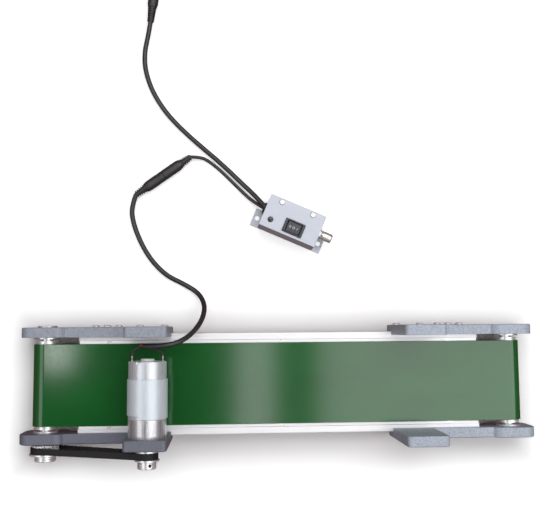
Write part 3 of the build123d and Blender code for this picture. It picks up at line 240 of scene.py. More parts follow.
def make_materials():
    """One material for each material slot of the record, and a few small extra ones."""
    made = {
        "extruded_aluminium": plain_finish("extruded_aluminium", (0.94, 0.94, 0.96), 0.38, 0.25,
                                           scale=BRUSHED_X, spread=0.04, strength=0.08),
        "sheet_aluminium": plain_finish("sheet_aluminium", (0.95, 0.95, 0.96), 0.42, 0.2, scale=BRUSHED_X,
                                        spread=0.03, strength=0.08),
        "bracket_nylon": speckled_finish("bracket_nylon", paint(140, 145, 157), 0.42, 0.30),
        "bracket_pale": speckled_finish("bracket_pale", paint(154, 162, 174), 0.42, 0.34),
        "bracket_smooth": speckled_finish("bracket_smooth", paint(106, 109, 122), 0.36, 0.12),
        "belt_pvc": belt_finish("belt_pvc", paint(14, 88, 32)),
        "timing_rubber": plain_finish("timing_rubber", paint(26, 25, 28), 0.62, scale=(1500, 1500, 1500)),
        "bearing_steel": plain_finish("bearing_steel", (0.80, 0.80, 0.81), 0.24, 0.7, scale=TURNED_Y),
        "roller_metal": plain_finish("roller_metal", (0.90, 0.90, 0.91), 0.26, 0.5, scale=TURNED_Y),
        "fastener_steel": plain_finish("fastener_steel", (0.90, 0.90, 0.91), 0.28, 0.45,
                                       scale=(900, 900, 900), strength=0.06),
        "fastener_black": plain_finish("fastener_black", paint(36, 34, 36), 0.38, 0.6),
        "motor_steel": plain_finish("motor_steel", (0.66, 0.69, 0.73), 0.30, 0.45, scale=(700, 40, 700),
                                    spread=0.03, strength=0.03),
        "flux_steel": plain_finish("flux_steel", (0.70, 0.76, 0.82), 0.36, 0.25, scale=(300, 120, 300),
                                   spread=0.02, strength=0.03),
        "gearbox_steel": plain_finish("gearbox_steel", (0.58, 0.58, 0.60), 0.27, 0.7, scale=DRAWN_Y,
                                      spread=0.10, strength=0.06),
        "motor_plastic": plain_finish("motor_plastic", (0.66, 0.68, 0.66), 0.4),
        "brass_parts": plain_finish("brass_parts", (0.80, 0.74, 0.56), 0.25, 0.9),
        "magnet": plain_finish("magnet", paint(70, 70, 74), 0.5, 0.4),
        "carbon": plain_finish("carbon", paint(40, 40, 42), 0.6),
        "lamination": plain_finish("lamination", paint(120, 120, 124), 0.4, 0.8, scale=(60, 3000, 60)),
        "copper": plain_finish("copper", (0.72, 0.34, 0.18), 0.28, 0.85, scale=(900, 200, 900)),
        "gear_steel": plain_finish("gear_steel", (0.55, 0.55, 0.56), 0.28, 0.95),
        "pulley_aluminium": plain_finish("pulley_aluminium", (0.90, 0.90, 0.91), 0.27, 0.6, scale=TURNED_Y,
                                         strength=0.06),
        "cable_black": plain_finish("cable_black", paint(50, 48, 50), 0.30, scale=(900, 900, 900),
                                    strength=0.1, spread=0.12),
        "wire_insulation": plain_finish("wire_insulation", paint(40, 38, 40), 0.4),
        "connector_plastic": plain_finish("connector_plastic", paint(50, 48, 51), 0.36,
                                          scale=(1200, 1200, 1200), strength=0.15),
        "box_paint": plain_finish("box_paint", paint(203, 209, 219), 0.40, 0.1, scale=(1600, 1600, 1600),
                                  strength=0.12, spread=0.04),
        "board": plain_finish("board", paint(20, 90, 50), 0.3, scale=(400, 400, 400)),
        "switch_plastic": plain_finish("switch_plastic", paint(60, 61, 70), 0.34, scale=(1500, 1500, 1500)),
        "led_lens": plain_finish("led_lens", paint(22, 26, 30), 0.06, coat=0.6, strength=0.02),
        "knob_metal": plain_finish("knob_metal", (0.93, 0.92, 0.90), 0.18, 0.8, scale=(300, 300, 300),
                                   spread=0.03, strength=0.03),
        "belt_fabric": weave_finish("belt_fabric", paint(96, 128, 104)),
        "red_wire": plain_finish("red_wire", paint(176, 30, 30), 0.4),
        "mark_white": plain_finish("mark_white", paint(222, 222, 226), 0.5),
    }
    return made


# ---- building and finishing pieces ---------------------------------------------------

def smooth(mesh, sharp=32.0):
    mesh.polygons.foreach_set("use_smooth", [True] * len(mesh.polygons))
    mesh.set_sharp_from_angle(angle=radians(sharp))


def place_piece(piece, finish, body="frame", stands_for=()):
    """Puts an object in the scene with its finish, on its body, in place of the CAD nodes it stands for."""
    if piece.name not in bpy.context.scene.collection.objects:
        bpy.context.scene.collection.objects.link(piece)
    piece.data.materials.clear()
    piece.data.materials.append(materials[finish])
    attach(piece, body)
    if stands_for:
        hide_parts(*stands_for)
    return piece


def piece_from(name, bm, finish, body="frame", stands_for=(), sharp=32.0):
    bmesh.ops.recalc_face_normals(bm, faces=bm.faces)
    mesh = bpy.data.meshes.new(name)
    bm.to_mesh(mesh)
    bm.free()
    smooth(mesh, sharp)
    piece = bpy.data.objects.new(name, mesh)
    even = piece.modifiers.new("even_normals", "WEIGHTED_NORMAL")
    even.keep_sharp = True
    return place_piece(piece, finish, body, stands_for)


def softened(node, width, finish, body="frame", segments=2, sharp=30.0):
    """The CAD node's own shape with its sharp edges rounded off."""
    bm = bmesh.new()
    bm.from_mesh(frame["nodes"][node].data)
    bmesh.ops.remove_doubles(bm, verts=bm.verts, dist=0.000002)
    bmesh.ops.dissolve_limit(bm, angle_limit=radians(0.5), verts=bm.verts, edges=bm.edges)
    edges = [e for e in bm.edges if len(e.link_faces) == 2 and e.calc_face_angle() > radians(sharp)]
    bmesh.ops.bevel(bm, geom=edges, offset=width, segments=segments, profile=0.5, affect="EDGES",
                    clamp_overlap=False)
    return piece_from(node + "_finish", bm, finish, body, (node,), sharp=38.0)


def ring_of(bm, centre, way, side, radius, along, steps, ripple=None):
    """A ring of vertices about an axis, or the one vertex on the axis if the radius is zero."""
    middle_point = centre + way * along
    if radius == 0:
        return [bm.verts.new(middle_point)]
    up = way.cross(side)
    verts = []
    for step in range(steps):
        turn = 2 * pi * step / steps
        reach = radius + (ripple(turn, along) if ripple else 0)
        verts.append(bm.verts.new(middle_point + (side * cos(turn) + up * sin(turn)) * reach))
    return verts


def join_rings(bm, first, second):
    steps = max(len(first), len(second))
    for step in range(steps):
        after = (step + 1) % steps
        if len(first) == 1:
            bm.faces.new((first[0], second[step], second[after]))
        elif len(second) == 1:
            bm.faces.new((first[step], first[after], second[0]))
        else:
            bm.faces.new((first[step], first[after], second[after], second[step]))


def turned(bm, centre, way, profile, steps=96, closed=False, ripple=None, side=None):
    """Adds a turned body: (radius, distance along the axis) pairs, closed into a ring or ended on the axis."""
    way = Vector(way).normalized()
    side = side or way.orthogonal().normalized()
    rings = [ring_of(bm, centre, way, side, radius, along, steps, ripple) for radius, along in profile]
    for first, second in zip(rings, rings[1:]):
        join_rings(bm, first, second)
    if closed:
        join_rings(bm, rings[-1], rings[0])


def cord_curve(name, points, radius):
    """A round cord whose control points are the same route as in the CAD model, in millimetres."""
    data = bpy.data.curves.new(name, "CURVE")
    data.dimensions = "3D"
    data.bevel_depth = radius * MM
    data.bevel_resolution = 7
    data.resolution_u = 14
    data.use_fill_caps = True
    spline = data.splines.new("NURBS")
    spline.points.add(len(points) - 1)
    for point, place in zip(spline.points, points):
        point.co = (*[value * MM for value in place], 1.0)
    spline.order_u = 3
    spline.use_endpoint_u = True
    return bpy.data.objects.new(name, data)


# ---- cords ---------------------------------------------------------------------------

MOTOR_LEAD = [
    (-129.0, 46.3, 66.0), (-113.5, 46.6, 66.0), (-98.5, 50.0, 61.0), (-85.5, 60.0, 49.0),
    (-77.5, 74.0, 32.5), (-76.5, 87.5, 15.0), (-83.5, 100.0, 4.0), (-99.5, 109.5, 2.6),
    (-117.0, 118.0, 2.6), (-133.0, 134.5, 2.6), (-144.5, 154.5, 2.6), (-152.0, 175.5, 2.6),
    (-153.0, 190.0, 3.8), (-148.4, 202.4, 5.6)]
CONTROLLER_LEAD = [
    (-92.0, 242.7, 5.6), (-80.5, 243.6, 3.2), (-69.5, 237.0, 1.85), (-58.0, 227.0, 1.85),
    (-44.5, 213.5, 1.85), (-31.5, 200.5, 2.2), (-22.8, 193.6, 4.4), (-14.4, 187.9, 7.0)]
POWER_LEAD = [
    (-14.2, 188.6, 13.5), (-23.5, 200.5, 9.0), (-36.2, 213.3, 4.8), (-50.5, 227.8, 2.7),
    (-65.0, 241.2, 2.6), (-80.5, 254.3, 2.6), (-98.5, 270.5, 2.6), (-115.0, 287.5, 2.6),
    (-126.6, 304.0, 2.6), (-135.0, 320.5, 2.6), (-140.6, 340.5, 2.6), (-140.7, 358.5, 2.6),
    (-137.0, 374.5, 4.0), (-134.7, 388.5, 5.6)]
LEAD_RADIUS = 2.5
THIN_LEAD_RADIUS = 1.75


def metres(place):
    return tuple(value * MM for value in place)


def make_cords():
    """The three leads."""
    lead = cord_curve("motor_lead_cord", MOTOR_LEAD, LEAD_RADIUS)
    short = cord_curve("controller_lead_cord", CONTROLLER_LEAD, THIN_LEAD_RADIUS)
    power = cord_curve("power_lead_cord", POWER_LEAD, LEAD_RADIUS)
    for cord, node in ((lead, "motor_lead"), (short, "controller_lead"), (power, "power_lead")):
        place_piece(cord, "cable_black", stands_for=(node,))
    return lead, short, power


# ---- connectors on the leads ----------------------------------------------------------

CONNECTOR_MIDDLE = Vector(metres((-120.1, 222.6, 5.6)))
CONNECTOR_TURN = radians(35.5)
POWER_PLUG_START = Vector(metres((-134.8, 387.5, 5.6)))
POWER_PLUG_WAY = Vector((0.1167, 0.9932, 0))
SHELL_RADIUS = 5.5
SHELL_LENGTH = 22.75
RELIEF_LENGTH = 13.0
RELIEF_ROOT = 4.5
RELIEF_TIP = 3.4
POWER_RELIEF = 17.4
POWER_SHELL = 27.0


def ribbed_relief(start, length, root, tip, ribs):
    """Profile of a strain relief that narrows from root to tip, cut by grooves between its ribs."""
    points = []
    pitch = length / (ribs + 0.5)
    groove = 1.1
    for k in range(ribs):
        near, far = start + pitch * (k + 0.2), start + pitch * (k + 0.8)
        at = (pitch * (k + 0.5)) / length
        reach = root + (tip - root) * at
        points += [(reach - groove, near), (reach - 0.08, near + 0.12), (reach, near + 0.3),
                   (reach, far - 0.3), (reach - 0.08, far - 0.12), (reach - groove, far)]
    end = start + length
    return points + [(tip - groove, end - 0.3), (tip - groove - 0.3, end), (0, end)]


def shell_profile(length, grooves=()):
    """Outer half of a moulded shell from its mating face, with shallow grip grooves and a tapered shoulder."""
    points = [(0, 0), (SHELL_RADIUS - 0.5, 0), (SHELL_RADIUS, 0.5)]
    for groove in grooves:
        points += [(SHELL_RADIUS, groove - 0.5), (SHELL_RADIUS - 0.3, groove - 0.3),
                   (SHELL_RADIUS - 0.3, groove + 0.3), (SHELL_RADIUS, groove + 0.5)]
    shoulder, steps, bend = 5.5, 8, 1.8
    fall = SHELL_RADIUS - RELIEF_ROOT
    return points + [(SHELL_RADIUS - fall * (k / steps) ** bend, length - shoulder * (1 - k / steps))
                     for k in range(steps + 1)]


def half_connector(name, way, node, grooves):
    bm = bmesh.new()
    profile = shell_profile(SHELL_LENGTH, grooves=grooves)
    profile += ribbed_relief(SHELL_LENGTH, RELIEF_LENGTH, RELIEF_ROOT, RELIEF_TIP, 5)
    turned(bm, CONNECTOR_MIDDLE, way, [(r * MM, s * MM) for r, s in profile], steps=64)
    return piece_from(name, bm, "connector_plastic", stands_for=(node,))


def make_connectors():
    way = Vector((cos(CONNECTOR_TURN), sin(CONNECTOR_TURN), 0))
    plug = half_connector("lead_plug_shell", -way, "lead_plug", (4.0, 5.6))
    socket = half_connector("lead_socket_shell", way, "lead_socket", ())
    bm = bmesh.new()
    shell = [(r, POWER_SHELL - s) for r, s in shell_profile(POWER_SHELL)][1:]
    relief_part = [(r, -s) for r, s in ribbed_relief(0, POWER_RELIEF, RELIEF_ROOT, RELIEF_TIP, 6)]
    bottom = POWER_SHELL - 9.5
    mouth = [(0, bottom), (1.25, bottom), (2.8, bottom), (2.8, POWER_SHELL - 0.3), (3.1, POWER_SHELL)]
    start = POWER_PLUG_START + POWER_PLUG_WAY.normalized() * POWER_RELIEF * MM
    turned(bm, start, POWER_PLUG_WAY, [(r * MM, s * MM) for r, s in mouth + shell + relief_part], steps=64)
    power_plug = piece_from("power_socket_shell", bm, "connector_plastic", stands_for=("power_socket",))
    bm = bmesh.new()
    pin = [(0, POWER_SHELL - 9.6), (1.0, POWER_SHELL - 9.6), (1.0, POWER_SHELL - 1.0), (0.5, POWER_SHELL - 0.6),
           (0, POWER_SHELL - 0.6)]
    turned(bm, start, POWER_PLUG_WAY, [(r * MM, s * MM) for r, s in pin], steps=24)
    piece_from("power_socket_pin", bm, "fastener_steel")
    return plug, socket, power_plug


# ---- belts ------------------------------------------------------------------------------

def loop_places(first, first_radius, second, second_radius, arc_steps, run_steps):
    """Points and outward ways of a belt line that runs round two circles, seen from the front (X, Z)."""
    line = second - first
    heading = atan2(line.y, line.x)
    wrap = acos((first_radius - second_radius) / line.length)

    def on(centre, radius, turn):
        way = Vector((cos(turn), sin(turn)))
        return centre + way * radius, way

    places = [on(first, first_radius, heading + wrap + (2 * pi - 2 * wrap) * k / arc_steps)
              for k in range(arc_steps)]
    start, way = on(first, first_radius, heading - wrap)
    end = on(second, second_radius, heading - wrap)[0]
    places += [(start.lerp(end, k / run_steps), way) for k in range(run_steps)]
    places += [on(second, second_radius, heading - wrap + 2 * wrap * k / arc_steps) for k in range(arc_steps)]
    start, way = on(second, second_radius, heading + wrap)
    end = on(first, first_radius, heading + wrap)[0]
    return places + [(start.lerp(end, k / run_steps), way) for k in range(run_steps)]


ARC_STEPS = 40
RUN_STEPS = 60


def make_conveyor_belt():
    """One closed band with soft edges: the carrying side outwards, fabric on the inside."""
    low, high = low_corner("conveyor_belt"), high_corner("conveyor_belt")
    outer = (high.z - low.z) / 2
    drive = Vector((low.x + outer, middle("conveyor_belt").z))
    idler = Vector((high.x - outer, middle("conveyor_belt").z))
    thickness = 1.4 * MM
    edge = 0.35 * MM
    hold = 0.5 * MM
    section = []
    for corner_y, corner_out, start in ((high.y - edge, outer - edge, 0), (low.y + edge, outer - edge, 90),
                                        (low.y + edge, outer - thickness + edge, 180),
                                        (high.y - edge, outer - thickness + edge, 270)):
        corner = [(corner_y + edge * cos(radians(start + 22.5 * k)),
                   corner_out + edge * sin(radians(start + 22.5 * k))) for k in range(5)]
        # one more point on the flat side keeps the flat faces flat
        if start in (0, 180):
            end_y, end_out = corner[-1]
            section += corner + [(end_y - hold if start == 0 else end_y + hold, end_out)]
        else:
            start_y, start_out = corner[0]
            section += [(start_y + hold if start == 90 else start_y - hold, start_out)] + corner
    bm = bmesh.new()
    rows = []
    for place, way in loop_places(drive, 0, idler, 0, ARC_STEPS, RUN_STEPS):
        rows.append([bm.verts.new((place.x + way.x * out, y, place.y + way.y * out)) for y, out in section])
    for first, second in zip(rows, rows[1:] + rows[:1]):
        join_rings(bm, first, second)
    belt = piece_from("conveyor_belt_band", bm, "belt_pvc", stands_for=("conveyor_belt",), sharp=50.0)
    belt.data.materials.append(materials["belt_fabric"])
    for face in belt.data.polygons:
        inner = -1 if face.center.z > drive.y else 1
        if abs(face.normal.y) < 0.5 and face.normal.z * inner > 0.5 and drive.x < face.center.x < idler.x:
            face.material_index = 1


ROLLER_TEETH = 28
MOTOR_TEETH = 20
TOOTH_PITCH = 3.0
BAND_OUT = 0.95
BAND_IN = 0.05
TOOTH_SINK = 0.68
TOOTH_ROUND = 0.85


def make_timing_belt():
    """Toothed band on both pulleys' pitch circles, each tooth in one of their grooves."""
    roller, motor = middle("drive_roller"), middle("motor_pulley")
    first = Vector((roller.x, roller.z)) / MM
    second = Vector((motor.x, motor.z)) / MM
    large, small = [teeth * TOOTH_PITCH / (2 * pi) for teeth in (ROLLER_TEETH, MOTOR_TEETH)]
    line = second - first
    heading = atan2(line.y, line.x)
    wrap = acos((large - small) / line.length)
    run = (line.length ** 2 - (large - small) ** 2) ** 0.5
    spans = [(2 * pi - 2 * wrap) * large, run, 2 * wrap * small, run]
    total = sum(spans)

    def at(distance, out):
        """Point at a distance along the pitch line, moved outwards."""
        distance %= total
        if distance < spans[0]:
            turn = heading + wrap + distance / large
            return first + Vector((cos(turn), sin(turn))) * (large + out)
        distance -= spans[0]
        if distance < spans[1]:
            turn = heading - wrap
            way = Vector((cos(turn), sin(turn)))
            return first + way * (large + out) + Vector((-way.y, way.x)) * distance
        distance -= spans[1]
        if distance < spans[2]:
            turn = heading - wrap + distance / small
            return second + Vector((cos(turn), sin(turn))) * (small + out)
        distance -= spans[2]
        turn = heading + wrap
        way = Vector((cos(turn), sin(turn)))
        return second + way * (small + out) + Vector((-way.y, way.x)) * distance

    # a groove of the roller pulley points along +X, so its grooves stand at whole steps from there
    step = 2 * pi / ROLLER_TEETH
    phase = (-(heading + wrap)) % step * large
    tooth = [(-1.1, -BAND_IN), (-0.94, -BAND_IN - 0.06), (-0.86, -BAND_IN - 0.25)]
    tooth += [(TOOTH_ROUND * cos(pi + pi * k / 8), -TOOTH_SINK + TOOTH_ROUND * sin(pi + pi * k / 8))
              for k in range(9)]
    tooth += [(0.86, -BAND_IN - 0.25), (0.94, -BAND_IN - 0.06), (1.1, -BAND_IN)]
    teeth = round(total / TOOTH_PITCH)
    front, back = along_y("timing_belt")
    edge = 0.15
    bm = bmesh.new()
    rows = []
    for k in range(teeth):
        for shift, depth in tooth:
            distance = phase + k * total / teeth + shift
            inner = at(distance, depth) * MM
            shoulder = at(distance, BAND_OUT - edge) * MM
            outer = at(distance, BAND_OUT) * MM
            rows.append([bm.verts.new((inner.x, front, inner.y)), bm.verts.new((shoulder.x, front, shoulder.y)),
                         bm.verts.new((outer.x, front + edge * MM, outer.y)),
                         bm.verts.new((outer.x, back - edge * MM, outer.y)),
                         bm.verts.new((shoulder.x, back, shoulder.y)), bm.verts.new((inner.x, back, inner.y))])
    for first_row, second_row in zip(rows, rows[1:] + rows[:1]):
        join_rings(bm, first_row, second_row)
    piece_from("timing_belt_toothed", bm, "timing_rubber", stands_for=("timing_belt",), sharp=30.0)


# ---- gear motor -------------------------------------------------------------------------

def motor_axis():
    centre = middle("motor_can")
    return Vector((centre.x, 0, centre.z))


def make_motor_can():
    """Drawn can: open front end, rolled rear rim with crimped notches."""
    front, back = along_y("motor_can")
    reach = radius_of("motor_can")
    wall = 1.5 * MM
    rim = 0.9 * MM

    def crimp(turn, along):
        """Three shallow dents where the rim is pressed over the end cap."""
        if along < back - 2.4 * MM:
            return 0
        near = min(abs((turn - at + pi) % (2 * pi) - pi) for at in (radians(65), radians(115), radians(245)))
        return -0.55 * MM if near < radians(5) else 0

    profile = [(reach - wall, front), (reach - 0.2 * MM, front), (reach, front + 0.2 * MM)]
    profile += [(reach, back - 2.5 * MM), (reach, back - 2.3 * MM)]
    profile += [(reach - rim + rim * cos(radians(15 * k)), back - rim + rim * sin(radians(15 * k)))
                for k in range(7)]
    profile += [(reach - wall - 0.6 * MM, back), (reach - wall - 0.6 * MM, back - 0.9 * MM),
                (reach - wall, back - 1.1 * MM)]
    bm = bmesh.new()
    turned(bm, motor_axis(), Y_WAY, profile, steps=180, closed=True, ripple=crimp, side=X_WAY)
    piece_from("motor_can_drawn", bm, "motor_steel", stands_for=("motor_can",), sharp=28.0)


def make_flux_ring():
    """Rolled sheet ring round the can. Its front edge steps back on one side of the joint."""
    front, back = along_y("motor_flux_ring")
    reach = radius_of("motor_flux_ring")
    inner = radius_of("motor_can") + 0.05 * MM
    step_back = 3.0 * MM
    round_off = 0.25 * MM
    steps = 180
    bm = bmesh.new()
    rows = []
    axis = motor_axis()
    for k in range(steps):
        turn = 2 * pi * k / steps
        stepped = radians(106) < turn < radians(214)
        start = front + (step_back if stepped else 0)
        spread = [(inner, start), (reach - round_off, start), (reach, start + round_off),
                  (reach, back - round_off), (reach - round_off, back), (inner, back)]
        rows.append([bm.verts.new(axis + Vector((r * cos(turn), y, r * sin(turn)))) for r, y in spread])
    for first, second in zip(rows, rows[1:] + rows[:1]):
        join_rings(bm, first, second)
    piece_from("motor_flux_ring_rolled", bm, "flux_steel", stands_for=("motor_flux_ring",), sharp=40.0)


def make_gearbox():
    """Turned housing and cover, their edges broken."""
    wall = 3.5 * MM
    for node, front_round, length in (("gearbox_cover", 0.5, 5.0), ("gearbox_ring_gear", 0.35, 12.0)):
        high = high_corner(node)
        reach = radius_of(node)
        start, end = high.y - length * MM, high.y
        soft = front_round * MM
        bm = bmesh.new()
        profile = [(reach - wall, start + 0.05 * MM), (reach - soft, start), (reach, start + soft),
                   (reach, end - soft), (reach - soft, end), (reach - wall, end - 0.05 * MM)]
        turned(bm, motor_axis(), Y_WAY, profile, steps=144, closed=True, side=X_WAY)
        piece_from(node + "_skin", bm, "gearbox_steel", sharp=60.0)


def make_end_cap():
    """Moulded cap inside the can's rim, with the boss over the rear bearing."""
    front, back = along_y("motor_end_cap")
    reach = radius_of("motor_end_cap")
    boss = 6.4 * MM
    boss_height = 2.2 * MM
    face = back - boss_height
    soft = 0.5 * MM
    bm = bmesh.new()
    profile = [(0, front), (reach, front), (reach, face - soft), (reach - soft, face), (reach - 3 * MM, face)]
    sunk = face - 0.3 * MM
    profile += [(reach - 3.2 * MM, sunk), (boss + 1.2 * MM, sunk), (boss + 0.2 * MM, face)]
    profile += [(boss, face + 0.3 * MM), (boss, back - soft), (boss - soft, back), (boss - 2.2 * MM, back)]
    profile += [(boss - 2.4 * MM, back - 0.5 * MM), (0, back - 0.5 * MM)]
    turned(bm, motor_axis(), Y_WAY, profile, steps=96, side=X_WAY)
    piece_from("motor_end_cap_moulded", bm, "motor_plastic", stands_for=("motor_end_cap",))


def wire_curve(name, points, finish, radius=1.15):
    wire = cord_curve(name, points, radius)
    return place_piece(wire, finish)


def make_motor_wires():
    """Two short insulated wires from the terminals to the lead, with shrunk sleeves over the tabs."""
    axis = motor_axis() / MM
    tab = high_corner("motor_terminals").y / MM
    spread = 14.4
    left = [(axis.x - spread, tab - 0.8, axis.z), (axis.x - spread - 0.4, tab + 3.2, axis.z + 0.4),
            (axis.x - spread + 3.0, tab + 6.4, axis.z + 0.4), (axis.x - 8.6, tab + 9.2, axis.z - 0.8),
            (axis.x - 5.6, tab + 9.8, axis.z - 1.6)]
    right = [(axis.x + spread, tab - 0.8, axis.z), (axis.x + spread + 0.2, tab + 2.6, axis.z),
             (axis.x + spread - 3.4, tab + 4.6, axis.z - 0.8), (axis.x + 6.0, tab + 6.2, axis.z - 2.2),
             (axis.x + 1.6, tab + 7.6, axis.z - 3.0), (axis.x - 3.4, tab + 8.2, axis.z - 2.6)]
    first = wire_curve("motor_wire_left", left, "wire_insulation")
    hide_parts("motor_wires")
    wire_curve("motor_wire_right", right, "wire_insulation")
    red = [(axis.x - 7.6, tab + 9.5, axis.z - 1.0), (axis.x - 5.4, tab + 9.9, axis.z - 0.4),
           (axis.x - 3.0, tab + 9.2, axis.z - 0.4), (axis.x - 0.8, tab + 8.9, axis.z - 1.2)]
    wire_curve("motor_wire_red", red, "red_wire", 0.95)
    sleeve = [(0.9, -3.6), (1.35, -3.5), (1.7, -3.0), (1.75, -1.0), (1.6, 0.6), (1.3, 1.4), (0.9, 1.5)]
    for side, name in ((-1, "left"), (1, "right")):
        bm = bmesh.new()
        foot = Vector((axis.x + side * spread, tab, axis.z)) * MM
        turned(bm, foot, Y_WAY, [(r * MM, s * MM) for r, s in sleeve], steps=32, closed=True)
        piece_from(f"terminal_sleeve_{name}", bm, "wire_insulation")


def make_lead_sleeve():
    """Shrink tube over the end of the lead, soft at both ends."""
    low, high = low_corner("motor_lead_sleeve"), high_corner("motor_lead_sleeve")
    centre = (low + high) / 2
    reach, half = (high.z - low.z) / 2, (high.x - low.x) / 2
    profile = [(0, -half), (reach * 0.72, -half)]
    profile += [(reach * (0.8 + 0.2 * sin(pi / 2 * k / 5)), -half + half * 0.5 * k / 5) for k in range(1, 6)]
    profile += [(reach, half * 0.8), (reach * 0.95, half), (0, half)]
    bm = bmesh.new()
    turned(bm, centre, X_WAY, profile, steps=48)
    piece_from("motor_lead_sleeve_shrunk", bm, "wire_insulation", stands_for=("motor_lead_sleeve",))


# ---- bearings ---------------------------------------------------------------------------

def make_bearing_shields():
    """Thin pressed shields between the rings of the four flanged bearings."""
    faces = along_y("bearing_outer_rings")
    for node, side in (("drive_roller", "drive"), ("idler_roller", "idler")):
        centre = middle(node)
        for face, way, end in ((faces[0], 1, "front"), (faces[1], -1, "rear")):
            start = Vector((centre.x, face + way * 0.5 * MM, centre.z))
            profile = [(6.75, 0), (7.3, -0.12), (8.9, -0.12), (9.35, 0.05), (9.35, 0.35), (6.75, 0.35)]
            bm = bmesh.new()
            turned(bm, start, Y_WAY * way, [(r * MM, s * MM) for r, s in profile], steps=72, closed=True)
            piece_from(f"bearing_shield_{side}_{end}", bm, "bearing_steel")


def make_bearing_cap():
    """Bright retaining ring on the rear face of the drive roller's rear bracket."""
    centre = middle("drive_roller")
    start = Vector((centre.x, high_corner("drive_bracket_rear").y, centre.z))
    profile = [(7.2, -0.3), (7.2, 1.1), (7.6, 1.5), (9.0, 1.5), (9.4, 1.1), (9.4, -0.3)]
    bm = bmesh.new()
    turned(bm, start, Y_WAY, [(r * MM, s * MM) for r, s in profile], steps=96, closed=True)
    piece_from("drive_bearing_ring_rear", bm, "bearing_steel")


# ---- speed controller -------------------------------------------------------------------

BOX_TURN = radians(-23.1)
BOX_MIDDLE = Vector((0.0132, 0.1717, 0))
BOX_U = Vector((cos(BOX_TURN), sin(BOX_TURN), 0))
BOX_V = Vector((-sin(BOX_TURN), cos(BOX_TURN), 0))


def box_place(u, v, z):
    """Point in the controller's own directions, given in millimetres."""
    return BOX_MIDDLE + (BOX_U * u + BOX_V * v + Z_WAY * z) * MM


def add_block(bm, centre, sides, size):
    """A box with softened edges; sides are its own directions, size its full lengths."""
    turn = Matrix((sides[0], sides[1], sides[2])).transposed().to_4x4()
    corners = bmesh.ops.create_cube(bm, size=1.0)["verts"]
    place = Matrix.Translation(centre) @ turn @ Matrix.Diagonal((*size, 1))
    bmesh.ops.transform(bm, verts=corners, matrix=place)
    edges = list({edge for vert in corners for edge in vert.link_edges})
    bmesh.ops.bevel(bm, geom=edges, offset=min(size) * 0.2, segments=2, affect="EDGES")


SWITCH_U, SWITCH_V = 3.7, -7.0
SWITCH_PIVOT = 32.8
ROCKER_HALF = 7.1
ROCKER_WIDTH = 10.4


def rocker_height(u):
    """Height of the rocker's hollow top above the pivot."""
    return 0.9 + 0.7 * (u / ROCKER_HALF) ** 2


def make_rocker():
    """Rocker with a smoothly hollowed top, soft rims and raised marks."""
    outline = [(ROCKER_HALF - 1.2, -2.6), (ROCKER_HALF - 0.15, 1.3)]
    outline += [(u, rocker_height(u)) for u in [ROCKER_HALF - 0.35 - k * (2 * ROCKER_HALF - 0.7) / 20
                                                for k in range(21)]]
    outline += [(-ROCKER_HALF + 0.15, 1.3), (-ROCKER_HALF + 1.2, -2.6), (-2.5, -3.6), (2.5, -3.6)]
    bm = bmesh.new()
    rows = []
    rim = 0.3
    for v, inset in ((-ROCKER_WIDTH / 2, rim), (-ROCKER_WIDTH / 2 + rim, 0), (ROCKER_WIDTH / 2 - rim, 0),
                     (ROCKER_WIDTH / 2, rim)):
        rows.append([bm.verts.new(box_place(SWITCH_U + u * (1 - inset / ROCKER_HALF), SWITCH_V + v,
                                            SWITCH_PIVOT + z - (inset if z > 0 else 0) * 0.8))
                     for u, z in outline])
    for first, second in zip(rows, rows[1:]):
        join_rings(bm, first, second)
    bm.faces.new(rows[0])
    bm.faces.new(rows[-1])
    for side in (-1, 1):
        start = box_place(SWITCH_U, SWITCH_V + side * (ROCKER_WIDTH / 2 - 0.2), SWITCH_PIVOT)
        profile = [(0, 0), (0.8 * MM, 0), (0.8 * MM, 0.95 * MM), (0.7 * MM, 1.0 * MM), (0, 1.0 * MM)]
        turned(bm, start, BOX_V * side, profile, steps=32)
    piece_from("switch_rocker_shaped", bm, "switch_plastic", "rocker", ("switch_rocker",), sharp=40.0)
    marks = bmesh.new()
    lift = 0.02
    for u in (-4.3, -3.3, 3.8):
        top = box_place(SWITCH_U + u, SWITCH_V, SWITCH_PIVOT + rocker_height(u) + lift)
        add_block(marks, top, (BOX_U, BOX_V, Z_WAY), (0.42 * MM, 2.6 * MM, 0.16 * MM))
    top = box_place(SWITCH_U, SWITCH_V, SWITCH_PIVOT + rocker_height(0.6) + lift)
    ring = [(0.95, -0.05), (0.95, 0.07), (1.35, 0.07), (1.35, -0.05)]
    turned(marks, top, Z_WAY, [(r * MM, s * MM) for r, s in ring], steps=40, closed=True)
    piece_from("switch_marks", marks, "mark_white", "rocker")


KNOB_HEIGHT = 17.0
KNOB_START = 32.9
KNOB_END = 45.0
KNOB_REACH = 4.7


